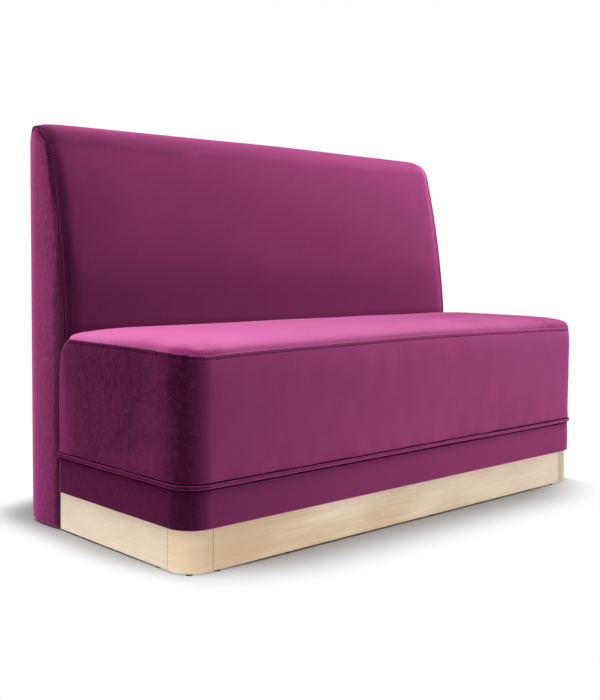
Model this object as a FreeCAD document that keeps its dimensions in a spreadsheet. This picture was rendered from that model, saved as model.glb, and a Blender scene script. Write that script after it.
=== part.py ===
import FreeCAD, Part
import math
import os
import Sketcher

# Upholstered booth seat: a padded seat box on a wood plinth, screwed to a padded back.
# X runs along the booth, Y from its front to its back and Z up. The origin is on the
# floor under the middle of the booth. Lengths are in millimetres.

Vector = FreeCAD.Vector

doc = FreeCAD.newDocument("Booth")
sheet = doc.addObject("Spreadsheet::Sheet", "Sizes")

SIZES = [
    ("booth_length", 1300, "plinth and back, end to end"),
    ("unit_depth", 468, "plinth and seat box, front to rear"),
    ("board_thickness", 18, "plywood of the plinth and of both frames"),
    ("glide_height", 4, "gap under the plinth"),
    ("glide_diameter", 16, "head of a tack-on glide"),
    ("glide_tack_width", 2.4, "square tack of a glide"),
    ("glide_tack_length", 14, "tack of a glide, above its head"),
    ("plinth_height", 83, "bare wood of the plinth"),
    ("corner_radius", 50, "outside radius of the front corners"),
    ("corner_leg", 62, "from the sharp corner to the joint beside it"),
    ("joint_block", 28, "glue block behind a joint, square"),
    ("bearer_height", 52, "cross bearers in the plinth"),
    ("bearer_lift", 4, "bearers above the plinth's lower edge"),
    ("cleat_thickness", 20, "cleats that join the seat box to the plinth"),
    ("cleat_height", 44, "cleats that join the seat box to the plinth"),
    ("fascia_height", 77, "padded band over the plinth"),
    ("fascia_padding", 7.5, "how far the band stands out from the plinth"),
    ("fascia_end", 2, "end of the band and the welt in front of the plinth's rear"),
    ("piping_diameter", 11, "welt under the seat border"),
    ("piping_stand_out", 13.5, "how far the welt stands out from the plinth"),
    ("piping_flange", 1.5, "sewn flange of the welt"),
    ("box_height", 245, "seat box above the plinth"),
    ("divider_drop", 45, "dividers below the top of the box, clear of the webbing"),
    ("webbing_width", 60, "elastic webbing"),
    ("webbing_thickness", 2, "elastic webbing"),
    ("webbing_pitch", 105, "least distance from strap to strap"),
    ("webbing_landing", 2, "flat of a strap past the one that it crosses, and at the rim"),
    ("lining_thickness", 0.8, "lining cloth and dust cloth"),
    ("seam_height", 421, "top seam of the seat border"),
    ("seat_height", 451, "crown of the seat"),
    ("crown_reach", 150, "from the seam to the level middle of the seat"),
    ("border_padding", 12, "belly of the seat border, out from the box"),
    ("cushion_rear_gap", 8, "rear of the padded seat, in front of the box's rear"),
    ("cushion_set_in", 11, "how far its rear comes forward up to the seam"),
    ("cushion_corner", 45, "rear corners of the padded seat at the seam"),
    ("cover_thickness", 2, "velvet with its backing"),
    ("cloth_gap", 0.3, "between soft pieces"),
    ("back_seam_height", 903, "side seam at the top of the back"),
    ("back_crown", 11, "how far the back's padding stands out from the seams"),
    ("back_foot_depth", 127, "back at the floor, front to rear"),
    ("back_lean", 16, "how far the rear leans back over its height"),
    ("back_foam", 26, "foam on the front of the back"),
    ("tuck_rise", 12, "lower end of the back's cover, above the seat box"),
    ("tuck_padding", 6, "padding at that end"),
    ("lumbar_height", 454, "where the back comes furthest forward"),
    ("lumbar_forward", 16, "how far it comes forward of the seat box's rear"),
    ("back_belly", 9.5, "bow of the back's front"),
    ("front_crest_radius", 62, "top of the back, front"),
    ("rear_crest_radius", 25, "top of the back, rear"),
    ("crest_flat", 6, "flat between the two radii"),
    ("heel_radius", 12, "lower rear corner of the back"),
    ("side_padding", 4, "padded side panels of the back"),
    ("bent_board", 5, "bent plywood on the front of the back"),
    ("rear_board", 3, "hardboard on the rear of the back"),
    ("rail_thickness", 22, "solid rails in the back"),
    ("joining_rail", 80, "width of the rail that the seat box is screwed to"),
    ("top_rail", 60, "width of the rail under the crest"),
    ("screw_diameter", 8, "coach screws between the seat box and the back"),
    ("screw_length", 38, "coach screws, under the head"),
    ("screw_head_width", 13, "hexagon head, across the flats"),
    ("screw_head_height", 5.3, "hexagon head"),
    ("washer_diameter", 24, "wide washer"),
    ("washer_thickness", 2, "wide washer"),
    ("hole_clearance", 0.2, "round a screw or a tack, on each side"),
]

for row, (alias, value, note) in enumerate(SIZES, start=1):
    sheet.set(f"A{row}", note)
    sheet.set(f"B{row}", str(value))
    sheet.setAlias(f"B{row}", alias)
doc.recompute()


def size(alias):
    return float(getattr(sheet, alias))


def named(text):
    """The expression with each size's name pointed at its cell."""
    aliases = {alias for alias, _, _ in SIZES}
    out = ""
    word = ""
    for letter in text + " ":
        if letter.isalnum() or letter == "_":
            word += letter
            continue
        out += "Sizes." + word if word in aliases else word
        out += letter
        word = ""
    return out.strip()


# Places that many pieces share: as expressions for bound boards, as numbers for shapes

FRONT = "(piping_stand_out - unit_depth - back_foot_depth - back_lean) / 2"
PLINTH_TOP = "(glide_height + plinth_height)"
BOX_TOP = "(glide_height + plinth_height + box_height)"
HALF = "(booth_length / 2)"

front = (size("piping_stand_out") - size("unit_depth") - size("back_foot_depth") - size("back_lean")) / 2
half = size("booth_length") / 2
depth = size("unit_depth")
board = size("board_thickness")
foot = size("glide_height")
plinth_top = foot + size("plinth_height")
box_top = plinth_top + size("box_height")
radius = size("corner_radius")
cover = size("cover_thickness")
gap = size("cloth_gap")
overrun = board

parts = {}


def keep(obj, name):
    obj.Label = name
    parts[name] = obj
    return obj


def shaped(name, shape):
    """A piece worked out with X from the middle, Y from the plinth's front and Z from the floor."""
    obj = doc.addObject("Part::Feature", name)
    obj.Shape = shape
    obj.Placement = FreeCAD.Placement(Vector(0, front, 0), FreeCAD.Rotation())
    return keep(obj, name)


def block(name, length, width, height, at_x, at_y, at_z):
    """A plain board bound to the sheet; at_y counts from the plinth's front."""
    box = doc.addObject("Part::Box", name)
    box.setExpression("Length", named(length))
    box.setExpression("Width", named(width))
    box.setExpression("Height", named(height))
    box.setExpression("Placement.Base.x", named(at_x))
    box.setExpression("Placement.Base.y", named(f"{FRONT} + {at_y}"))
    box.setExpression("Placement.Base.z", named(at_z))
    box.Label = name
    return box


def group(name, pieces):
    """Like pieces that share one node, as separate solids."""
    compound = doc.addObject("Part::Compound", name)
    compound.Links = pieces
    return keep(compound, name)


def bored(name, base, holes):
    """The base with its holes cut out."""
    if not holes:
        return keep(base, name)
    tools = doc.addObject("Part::Compound", name + "_bores")
    tools.Links = holes
    cut = doc.addObject("Part::Cut", name)
    base.Label = name + "_blank"
    cut.Base = base
    cut.Tool = tools
    return keep(cut, name)


def tack_hole(name, at_x, at_y):
    """The hole that a glide's tack makes, up into the lower edge of a board."""
    wide = "glide_tack_width + 2 * hole_clearance"
    tall = "glide_tack_length + board_thickness + hole_clearance"
    return block(
        name, wide, wide, tall, f"{at_x} - ({wide}) / 2", f"{at_y} - ({wide}) / 2",
        "glide_height - board_thickness",
    )


def level_hole(name, hole_radius, length, at_x, at_y, at_z):
    """A hole along Y, from at_y towards the rear."""
    hole = doc.addObject("Part::Cylinder", name)
    hole.Placement = FreeCAD.Placement(Vector(), FreeCAD.Rotation(Vector(1, 0, 0), -90))
    hole.setExpression("Radius", named(hole_radius))
    hole.setExpression("Height", named(length))
    hole.setExpression("Placement.Base.x", named(at_x))
    hole.setExpression("Placement.Base.y", named(f"{FRONT} + {at_y}"))
    hole.setExpression("Placement.Base.z", named(at_z))
    return hole


# Places of the glides and screws, as shares of the length or the depth that they follow

front_glide_shares = (-0.44, -0.30, -0.14, 0.05, 0.25, 0.43)
side_glide_shares = (0.22, 0.88)
rear_glide_shares = (-0.44, 0.0, 0.44)
rear_glide_depth_share = 0.62
screw_shares = (-0.38, -0.13, 0.13, 0.38)
divider_shares = (-0.25, 0.0, 0.25)
SIDES = (("left", -1), ("right", 1))

# The bare wood plinth


def square_sketch(body, name, inset, reach):
    """A square in the body's base plane, from the inset to the reach, on the diagonal."""
    plane = next(p for p in body.Origin.OriginFeatures if p.Role == "XY_Plane")
    sketch = body.newObject("Sketcher::SketchObject", name)
    sketch.AttachmentSupport = [(plane, "")]
    sketch.MapMode = "FlatFace"
    low = board if inset else 0
    high = 2 * radius
    corners = [(low, low), (high, low), (high, high), (low, high)]
    for i, (x, y) in enumerate(corners):
        end_x, end_y = corners[(i + 1) % len(corners)]
        sketch.addGeometry(Part.LineSegment(Vector(x, y, 0), Vector(end_x, end_y, 0)), False)
    for i in range(len(corners)):
        sketch.addConstraint(Sketcher.Constraint("Coincident", i, 2, (i + 1) % len(corners), 1))
    for i in (0, 2):
        sketch.addConstraint(Sketcher.Constraint("Horizontal", i))
    for i in (1, 3):
        sketch.addConstraint(Sketcher.Constraint("Vertical", i))
    if inset:
        for kind, label in (("DistanceX", "inset_x"), ("DistanceY", "inset_y")):
            index = sketch.addConstraint(Sketcher.Constraint(kind, -1, 1, 0, 1, low))
            sketch.renameConstraint(index, label)
            sketch.setExpression("Constraints." + label, named(inset))
    else:
        sketch.addConstraint(Sketcher.Constraint("Coincident", 0, 1, -1, 1))
    for kind, label in (("DistanceX", "reach_x"), ("DistanceY", "reach_y")):
        index = sketch.addConstraint(Sketcher.Constraint(kind, -1, 1, 1, 2, high))
        sketch.renameConstraint(index, label)
        sketch.setExpression("Constraints." + label, named(reach))
    return sketch


def upright_edge(shape, at):
    """The name of the upright edge that stands at (at, at)."""
    for i, edge in enumerate(shape.Edges, start=1):
        low, high = edge.Vertexes[0].Point, edge.Vertexes[-1].Point
        near = math.hypot(low.x - at, low.y - at) < gap and math.hypot(high.x - at, high.y - at) < gap
        if near and abs(high.z - low.z) > gap:
            return f"Edge{i}"
    raise RuntimeError("no upright edge there")


def corner_piece(name, side, height, at_z):
    """A curved corner: an angle with two short legs, rounded outside and inside."""
    body = doc.addObject("PartDesign::Body", name)
    outline = square_sketch(body, name + "_outline", "", "corner_leg")
    pad = body.newObject("PartDesign::Pad", name + "_pad")
    pad.Profile = outline
    pad.setExpression("Length", named(height))
    doc.recompute()
    inside = square_sketch(body, name + "_inside", "board_thickness", "corner_leg + board_thickness")
    pocket = body.newObject("PartDesign::Pocket", name + "_pocket")
    pocket.Profile = inside
    pocket.Type = 1
    pocket.Reversed = True
    doc.recompute()
    if math.isclose(pocket.Shape.Volume, pad.Shape.Volume):
        raise RuntimeError(name + ": the pocket cut nothing")
    outside = body.newObject("PartDesign::Fillet", name + "_outside")
    outside.Base = (pocket, [upright_edge(pocket.Shape, 0)])
    outside.setExpression("Radius", named("corner_radius"))
    doc.recompute()
    hollow = body.newObject("PartDesign::Fillet", name + "_hollow")
    hollow.Base = (outside, [upright_edge(outside.Shape, board)])
    hollow.setExpression("Radius", named("corner_radius - board_thickness"))
    body.Tip = hollow
    turn = 90 if side > 0 else 0
    body.Placement = FreeCAD.Placement(Vector(), FreeCAD.Rotation(Vector(0, 0, 1), turn))
    body.setExpression("Placement.Base.x", named(f"{side} * {HALF}"))
    body.setExpression("Placement.Base.y", named(FRONT))
    body.setExpression("Placement.Base.z", named(at_z))
    doc.recompute()
    return body


# A glide under a corner piece is tacked into the middle of the curved wall.
corner_run = radius - (radius - board / 2) * math.cos(math.pi / 4)
CORNER_RUN = "(corner_radius - (corner_radius - board_thickness / 2) * cos(45 deg))"


def plinth_boards():
    span = "booth_length - 2 * corner_leg"
    edge = f"corner_leg - {HALF}"
    tacks = [
        tack_hole(f"front_tack_hole_{i}", f"{share} * booth_length", "board_thickness / 2")
        for i, share in enumerate(front_glide_shares)
    ]
    board_front = block("front_blank", span, "board_thickness", "plinth_height", edge, "0", "glide_height")
    bored("plinth_front_board", board_front, tacks)
    for name, side in SIDES:
        at_x = f"-{HALF}" if side < 0 else f"{HALF} - board_thickness"
        tack_x = f"{side} * ({HALF} - board_thickness / 2)"
        tacks = [
            tack_hole(f"{name}_tack_hole_{i}", tack_x, f"{share} * unit_depth")
            for i, share in enumerate(side_glide_shares)
        ]
        side_board = block(
            f"{name}_blank", "board_thickness", "unit_depth - corner_leg", "plinth_height", at_x,
            "corner_leg", "glide_height",
        )
        bored(f"plinth_{name}_board", side_board, tacks)
        corner = corner_piece(f"plinth_corner_{name}_body", side, "plinth_height", "glide_height")
        tack = tack_hole(f"corner_tack_hole_{name}", f"{side} * ({HALF} - {CORNER_RUN})", CORNER_RUN)
        bored(f"plinth_corner_{name}", corner, [tack])
    rear = block(
        "plinth_rear_board", "booth_length - 2 * board_thickness", "board_thickness", "plinth_height",
        f"board_thickness - {HALF}", "unit_depth - board_thickness", "glide_height",
    )
    keep(rear, "plinth_rear_board")


def plinth_inside():
    """Glue blocks behind the four joints, cross bearers, cleats up into the seat box, dust cloth."""
    blocks = []
    bearers = []
    cleats = []
    low = "glide_height + bearer_lift"
    for name, side in SIDES:
        near_front = f"{side} * ({HALF} - corner_radius)" + (" - joint_block" if side > 0 else "")
        near_side = f"{side} * ({HALF} - board_thickness)" + (" - joint_block" if side > 0 else "")
        blocks.append(block(
            f"front_joint_block_{name}", "joint_block", "joint_block", "bearer_height", near_front,
            "board_thickness", low,
        ))
        blocks.append(block(
            f"side_joint_block_{name}", "joint_block", "joint_block", "bearer_height", near_side,
            "corner_radius", low,
        ))
        cleat_x = f"{side} * ({HALF} - board_thickness)" + (" - cleat_thickness" if side > 0 else "")
        cleats.append(block(
            f"side_cleat_{name}", "cleat_thickness", "unit_depth - board_thickness - corner_leg",
            "cleat_height", cleat_x, "corner_leg", f"{PLINTH_TOP} - cleat_height / 2",
        ))
    cleats.append(block(
        "front_cleat", "booth_length - 2 * corner_leg", "cleat_thickness", "cleat_height",
        f"corner_leg - {HALF}", "board_thickness", f"{PLINTH_TOP} - cleat_height / 2",
    ))
    cleats.append(block(
        "rear_cleat", "booth_length - 4 * corner_leg", "cleat_thickness", "cleat_height",
        f"2 * corner_leg - {HALF}", "unit_depth - board_thickness - cleat_thickness",
        f"{PLINTH_TOP} - cleat_height / 2",
    ))
    for i, share in enumerate(divider_shares):
        bearers.append(block(
            f"bearer_{i}", "board_thickness", "unit_depth - 2 * board_thickness", "bearer_height",
            f"{share} * booth_length - board_thickness / 2", "board_thickness", low,
        ))
    group("plinth_joint_blocks", blocks)
    group("plinth_bearers", bearers)
    group("joining_cleats", cleats)


def rounded_outline(half_x, front_y, rear_y, front_radius, rear_radius, at_z):
    """A level outline with rounded front and rear corners, as four lines and four quarter arcs."""
    bend = math.sqrt(0.5)
    edges = []
    corners = [
        (half_x, front_y, -1, 1, front_radius),
        (half_x, rear_y, -1, -1, rear_radius),
        (-half_x, rear_y, 1, -1, rear_radius),
        (-half_x, front_y, 1, 1, front_radius),
    ]
    ends = []
    for i, (x, y, in_x, in_y, r) in enumerate(corners):
        centre = Vector(x + in_x * r, y + in_y * r, at_z)
        along_x = Vector(centre.x, y, at_z)
        along_y = Vector(x, centre.y, at_z)
        middle = centre - Vector(in_x * r * bend, in_y * r * bend, 0)
        first, last = (along_x, along_y) if i % 2 == 0 else (along_y, along_x)
        ends.append((first, middle, last))
    for i, (first, middle, last) in enumerate(ends):
        edges.append(Part.Arc(first, middle, last).toShape())
        edges.append(Part.LineSegment(last, ends[(i + 1) % len(ends)][0]).toShape())
    return Part.Wire(edges)


def prism(outline, height):
    return Part.Face(outline).extrude(Vector(0, 0, height))


def dust_cloth():
    """Thin black cloth stapled under the bearers, inside the plinth."""
    thickness = size("lining_thickness")
    inner = half - board - gap
    low = foot + size("bearer_lift") - thickness
    outline = rounded_outline(inner, board + gap, depth - board - gap, radius - board - gap, gap, low)
    shaped("plinth_dust_cloth", prism(outline, thickness))


def one_glide():
    """A tack-on glide: a turned head that narrows towards the floor, and its square tack."""
    head = size("glide_diameter") / 2
    wide = size("glide_tack_width")
    pad = Part.makeCone(head - foot / 4, head, foot)
    tack = Part.makeBox(wide, wide, size("glide_tack_length"), Vector(-wide / 2, -wide / 2, foot))
    return pad.fuse(tack)


def glides():
    middle = board / 2
    places = [(share * 2 * half, middle) for share in front_glide_shares]
    for _, side in SIDES:
        places.append((side * (half - corner_run), corner_run))
        places += [(side * (half - middle), share * depth) for share in side_glide_shares]
    rear = depth + rear_glide_depth_share * size("back_foot_depth")
    places += [(share * 2 * half, rear) for share in rear_glide_shares]
    glide = one_glide()
    shaped("glides", Part.makeCompound([glide.translated(Vector(x, y, 0)) for x, y in places]))


# The seat box, its webbing and its padding


def seat_box():
    span = "booth_length - 2 * corner_leg"
    keep(block(
        "seat_front_panel", span, "board_thickness", "box_height", f"corner_leg - {HALF}", "0", PLINTH_TOP
    ), "seat_front_panel")
    for name, side in SIDES:
        at_x = f"-{HALF}" if side < 0 else f"{HALF} - board_thickness"
        keep(block(
            f"seat_{name}_panel", "board_thickness", "unit_depth - corner_leg", "box_height", at_x,
            "corner_leg", PLINTH_TOP,
        ), f"seat_{name}_panel")
        keep(corner_piece(f"seat_corner_{name}", side, "box_height", PLINTH_TOP), f"seat_corner_{name}")
    rear = block(
        "seat_rear_blank", "booth_length - 2 * board_thickness", "board_thickness", "box_height",
        f"board_thickness - {HALF}", "unit_depth - board_thickness", PLINTH_TOP,
    )
    holes = [
        level_hole(
            f"seat_screw_hole_{i}", "screw_diameter / 2 + hole_clearance", "3 * board_thickness",
            f"{share} * booth_length", "unit_depth - 2 * board_thickness", f"{BOX_TOP} - joining_rail / 2",
        )
        for i, share in enumerate(screw_shares)
    ]
    bored("seat_rear_panel", rear, holes)
    dividers = [
        block(
            f"divider_{i}", "board_thickness", "unit_depth - 2 * board_thickness - cleat_thickness * 2",
            "box_height - divider_drop", f"{share} * booth_length - board_thickness / 2",
            "board_thickness + cleat_thickness", PLINTH_TOP,
        )
        for i, share in enumerate(divider_shares)
    ]
    group("seat_dividers", dividers)
    blocks = []
    for name, side in SIDES:
        at_x = f"{side} * ({HALF} - board_thickness)" + (" - joint_block" if side > 0 else "")
        blocks.append(block(
            f"rear_glue_block_{name}", "joint_block", "joint_block",
            "box_height - divider_drop - cleat_height / 2", at_x,
            "unit_depth - board_thickness - joint_block", f"{PLINTH_TOP} + cleat_height / 2",
        ))
    group("seat_corner_blocks", blocks)


def strap(levels, start, end, half_patch):
    """A strap's long section: flat on the rim, and over or under each strap that it crosses."""
    thickness = size("webbing_thickness")
    low = [(start, 0)]
    for place, over in levels:
        lift = thickness if over else 0
        low.append((place - half_patch, lift))
        low.append((place + half_patch, lift))
    low.append((end, 0))
    rim = board
    low.insert(1, (start + rim, 0))
    low.insert(len(low) - 1, (end - rim, 0))
    high = [(place, lift + thickness) for place, lift in reversed(low)]
    return low + high


def webbing():
    """Two layers of straps woven over and under each other and stapled to the box's rim."""
    width = size("webbing_width")
    landing = size("webbing_landing")
    half_patch = width / 2 + landing
    pitch = size("webbing_pitch")
    across_count = int((2 * half - 2 * board) // pitch)
    along_count = int((depth - 2 * board) // pitch)
    across = [-half + 2 * half * (i + 1) / (across_count + 1) for i in range(across_count)]
    along = [depth * (j + 1) / (along_count + 1) for j in range(along_count)]
    cross_straps = []
    for i, x in enumerate(across):
        levels = [(y, (i + j) % 2 == 0) for j, y in enumerate(along)]
        outline = strap(levels, landing, depth - landing, half_patch)
        points = [Vector(x - width / 2, y, box_top + z) for y, z in outline]
        cross_straps.append(Part.Face(Part.makePolygon(points + points[:1])).extrude(Vector(width, 0, 0)))
    long_straps = []
    for j, y in enumerate(along):
        levels = [(x, (i + j) % 2 == 1) for i, x in enumerate(across)]
        outline = strap(levels, landing - half, half - landing, half_patch)
        points = [Vector(x, y - width / 2, box_top + z) for x, z in outline]
        long_straps.append(Part.Face(Part.makePolygon(points + points[:1])).extrude(Vector(0, width, 0)))
    shaped("webbing_cross_straps", Part.makeCompound(cross_straps))
    shaped("webbing_long_straps", Part.makeCompound(long_straps))


# The seat border's outline from the welt up to the seam: height, padding, how far the rear
# has come forward, and the rear corner's radius, each as a share.
border_shares = (
    (0.00, 0.72, 0.00, 0.20),
    (0.70, 0.97, 0.12, 0.20),
    (0.84, 1.00, 0.40, 0.26),
    (0.93, 0.88, 0.72, 0.48),
    (1.00, 0.66, 1.00, 1.00),
)
# The crown rises from the seam to the level middle as a quarter of a superellipse. Its rear
# and the radii of its rear corners follow their own powers of the way in.
CROWN_POWER = 2.6
CROWN_STEPS = 6
REAR_POWER = 1.7
CORNER_POWER = 0.5
rear_reach_share = 0.9
front_corner_share = 0.12
rear_corner_share = 0.9
level_corner_share = 0.45

seam = size("seam_height")
piping_middle = plinth_top + size("fascia_height") + size("piping_diameter") / 2 + gap
border_foot = piping_middle + size("piping_diameter") / 2 + gap
seam_padding = size("border_padding") * border_shares[-1][1]
cushion_rear = depth - size("cushion_rear_gap")
seam_rear = cushion_rear - size("cushion_set_in")
inner_rear = seam_rear - size("border_padding")


def border_outline(height_share, padding_share, rear_share, corner_share):
    padding = size("border_padding") * padding_share
    return rounded_outline(
        half + padding,
        -padding,
        cushion_rear - size("cushion_set_in") * rear_share,
        radius + padding,
        size("cushion_corner") * corner_share,
        border_foot + (seam - border_foot) * height_share,
    )


def crown(skin):
    """The seat's crowned top, as a solid set in by skin from the velvet's outer face."""
    rise = size("seat_height") - seam - skin
    reach = size("crown_reach")
    sections = []
    for step in range(CROWN_STEPS):
        turn = math.pi / 2 * step / (CROWN_STEPS - 1)
        in_share = 1 - max(math.cos(turn), 0) ** (2 / CROWN_POWER)
        up_share = math.sin(turn) ** (2 / CROWN_POWER)
        inset = reach * in_share + skin - seam_padding
        rear = seam_rear - reach * rear_reach_share * in_share ** REAR_POWER - skin
        most = level_corner_share * (rear - inset)
        sections.append(rounded_outline(
            half - inset,
            inset,
            rear,
            min(radius + seam_padding - skin + reach * front_corner_share * in_share, most),
            min((size("cushion_corner") - skin) * (1 + rear_corner_share * in_share ** CORNER_POWER), most),
            seam + rise * up_share,
        ))
    return Part.makeLoft(sections, True, True)


def box_room(height_low, height_high):
    """The space that the seat box fills, open to the rear, with a gap for the cloth."""
    outline = rounded_outline(half + gap, -gap, depth + overrun, radius + gap, gap, height_low)
    return prism(outline, height_high - height_low)


def cushion_room(height_low, height_high, skin):
    """The space inside the border above the box."""
    corner = size("cushion_corner") - size("border_padding") - skin + gap
    outline = rounded_outline(
        half + gap - skin, skin - gap, inner_rear - skin, radius + gap - skin, corner, height_low
    )
    return prism(outline, height_high - height_low)


def seat_padding():
    """Lining on the webbing, the foam block, the padded border and the crowned top cover."""
    lining = size("lining_thickness")
    rest = box_top + 2 * size("webbing_thickness")
    shaped("seat_lining", cushion_room(rest, rest + lining, gap))
    foam = cushion_room(rest + lining, seam, 2 * gap).fuse(crown(cover + gap)).removeSplitter()
    shaped("seat_foam", foam)
    sections = [
        border_outline(height, padding, rear_in, corner) for height, padding, rear_in, corner in border_shares
    ]
    border = Part.makeLoft(sections, True, True)
    border = border.cut(box_room(border_foot - overrun, rest + lining))
    border = border.cut(cushion_room(rest, seam + overrun, 0))
    shaped("seat_border", border)
    shaped("seat_top_cover", crown(0).cut(crown(cover)))


def fascia():
    """The padded band between the plinth and the welt, round the front and both sides."""
    padding = size("fascia_padding")
    outline = rounded_outline(
        half + padding, -padding, depth - size("fascia_end"), radius + padding, padding - gap, plinth_top
    )
    band = prism(outline, size("fascia_height"))
    shaped("fascia_band", band.cut(box_room(plinth_top - overrun, box_top)))


def piping():
    """The welt: a round cord in velvet with its sewn flange, led round the front corners."""
    r = size("piping_diameter") / 2
    flange = size("piping_flange") / 2
    out = size("piping_stand_out") - r
    bend = math.sqrt(0.5)
    end = depth - size("fascia_end")
    line = half + out
    level = piping_middle
    neck = math.sqrt(r * r - flange * flange)
    outline = [
        (neck, flange), (-r * bend, r * bend), (-r, 0), (-r * bend, -r * bend),
        (neck, -flange), (out - gap, -flange), (out - gap, flange),
    ]
    top, over, far, under, low, low_end, top_end = [Vector(x - line, radius, z + level) for x, z in outline]
    section = Part.Face(Part.Wire([
        Part.Arc(top, over, far).toShape(),
        Part.Arc(far, under, low).toShape(),
        Part.LineSegment(low, low_end).toShape(),
        Part.LineSegment(low_end, top_end).toShape(),
        Part.LineSegment(top_end, top).toShape(),
    ]))
    centre = Vector(radius - half, radius, 0)
    side_run = section.extrude(Vector(0, end - radius, 0))
    turn = section.revolve(centre, Vector(0, 0, 1), 90)
    section.rotate(centre, Vector(0, 0, 1), 90)
    front_run = section.extrude(Vector(2 * (half - radius), 0, 0))
    left = side_run.fuse(turn)
    right = left.mirror(Vector(), Vector(1, 0, 0))
    shaped("seat_piping", left.fuse([front_run, right]).removeSplitter())


# The back: a side profile of lines and arcs that every piece of it follows

SHOULDER_DEGREES = 17
back_top = size("back_seam_height")
tuck_height = box_top + size("tuck_rise")


def rear_at(height):
    """The outer face of the rear, which leans back as it goes up."""
    return depth + size("back_foot_depth") + size("back_lean") * height / back_top


# How much of the back's crown each point of the front line takes
bulge_shares = {
    "tuck": 0.0, "lumbar": 0.6, "belly": 1.0, "shoulder": 0.9, "crest": 0.9, "crest_front": 0.9,
    "crest_rear": 0.7, "rear_crest": 0.35, "rear_top": 0.0,
}


def front_line(bulge, inset):
    """Points of the back's front and crest, pushed out by the padding's bulge and set in for a layer."""
    r_front = size("front_crest_radius")
    r_rear = size("rear_crest_radius")
    rear_centre = Vector(0, rear_at(back_top - r_rear) - r_rear, back_top - r_rear)
    front_centre = Vector(0, rear_centre.y - size("crest_flat"), back_top - r_front)
    turn = math.radians(SHOULDER_DEGREES)
    half_turn = (turn + math.pi / 2) / 2
    lumbar = Vector(0, depth - size("lumbar_forward"), size("lumbar_height"))
    outward = {
        "tuck": Vector(0, -1, 0),
        "lumbar": Vector(0, -1, 0),
        "shoulder": Vector(0, -math.cos(turn), math.sin(turn)),
        "crest": Vector(0, -math.cos(half_turn), math.sin(half_turn)),
        "crest_front": Vector(0, 0, 1),
        "crest_rear": Vector(0, 0, 1),
        "rear_crest": Vector(0, math.sqrt(0.5), math.sqrt(0.5)),
        "rear_top": Vector(0, 1, 0),
    }
    shoulder = front_centre + outward["shoulder"] * r_front
    chord = shoulder - lumbar
    outward["belly"] = Vector(0, -chord.z, chord.y).normalize()
    places = {
        "tuck": Vector(0, depth - size("tuck_padding"), tuck_height),
        "lumbar": lumbar,
        "belly": (lumbar + shoulder) / 2 + outward["belly"] * size("back_belly"),
        "shoulder": shoulder,
        "crest": front_centre + outward["crest"] * r_front,
        "crest_front": front_centre + Vector(0, 0, r_front),
        "crest_rear": rear_centre + Vector(0, 0, r_rear),
        "rear_crest": rear_centre + outward["rear_crest"] * r_rear,
        "rear_top": rear_centre + Vector(0, r_rear, 0),
    }
    return {key: places[key] + outward[key] * (bulge * bulge_shares[key] - inset) for key in places}


def shifted(points, x):
    return {key: Vector(x, point.y, point.z) for key, point in points.items()}


def line(first, last):
    return Part.LineSegment(first, last).toShape()


def arc(first, middle, last):
    return Part.Arc(first, middle, last).toShape()


def front_edges(p):
    """The front face and the crest from the tuck to the rear, bottom first."""
    return [
        line(p["tuck"], p["lumbar"]),
        arc(p["lumbar"], p["belly"], p["shoulder"]),
        arc(p["shoulder"], p["crest"], p["crest_front"]),
        line(p["crest_front"], p["crest_rear"]),
        arc(p["crest_rear"], p["rear_crest"], p["rear_top"]),
    ]


# Where the sections of the back's padding stand along its length, and their bulge
section_shares = ((0.0, 0.0), (0.02, 0.52), (0.12, 0.82), (1.0, 1.0))


def sections_along(half_length, make):
    """One section at each place from the left end to the right end."""
    left = [(-half_length * (1 - along), bulge) for along, bulge in section_shares]
    right = [(-x, bulge) for x, bulge in reversed(left[:-1])]
    return [make(x, bulge * size("back_crown")) for x, bulge in left + right]


foam_inset = cover + gap
board_inset = foam_inset + size("back_foam")
former_inset = board_inset + size("bent_board")
frame_half = half - size("side_padding")
wood_rear = cover + size("rear_board")


def cover_section(x, bulge):
    outer = shifted(front_line(bulge, 0), x)
    inner = shifted(front_line(bulge, cover), x)
    back_way = [
        line(outer["rear_top"], inner["rear_top"]),
        arc(inner["rear_top"], inner["rear_crest"], inner["crest_rear"]),
        line(inner["crest_rear"], inner["crest_front"]),
        arc(inner["crest_front"], inner["crest"], inner["shoulder"]),
        arc(inner["shoulder"], inner["belly"], inner["lumbar"]),
        line(inner["lumbar"], inner["tuck"]),
        line(inner["tuck"], outer["tuck"]),
    ]
    return Part.Wire(front_edges(outer) + back_way)


def board_line(inset, tuck_y):
    """The front line of a wooden layer, whose lower end stands at tuck_y."""
    points = front_line(0, inset)
    points["tuck"] = Vector(0, tuck_y, tuck_height)
    return points


def foam_section(x, bulge):
    outer = shifted(front_line(bulge, foam_inset), x)
    on_board = shifted(board_line(board_inset, depth), x)
    on_former = shifted(board_line(former_inset, depth), x)
    crest_level = on_former["crest_front"].z
    rear_low = Vector(x, rear_at(crest_level) - foam_inset, crest_level)
    way = [
        line(outer["rear_top"], rear_low),
        line(rear_low, on_former["crest_front"]),
        arc(on_former["crest_front"], on_former["crest"], on_former["shoulder"]),
        line(on_former["shoulder"], on_board["shoulder"]),
        arc(on_board["shoulder"], on_board["belly"], on_board["lumbar"]),
        line(on_board["lumbar"], on_board["tuck"]),
        line(on_board["tuck"], outer["tuck"]),
    ]
    return Part.Wire(front_edges(outer) + way)


def along_back(wire_at_origin, half_length):
    """A flat section drawn at X = 0, run from end to end of the back."""
    face = Part.Face(wire_at_origin)
    face.translate(Vector(-half_length, 0, 0))
    return face.extrude(Vector(2 * half_length, 0, 0))


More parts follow.
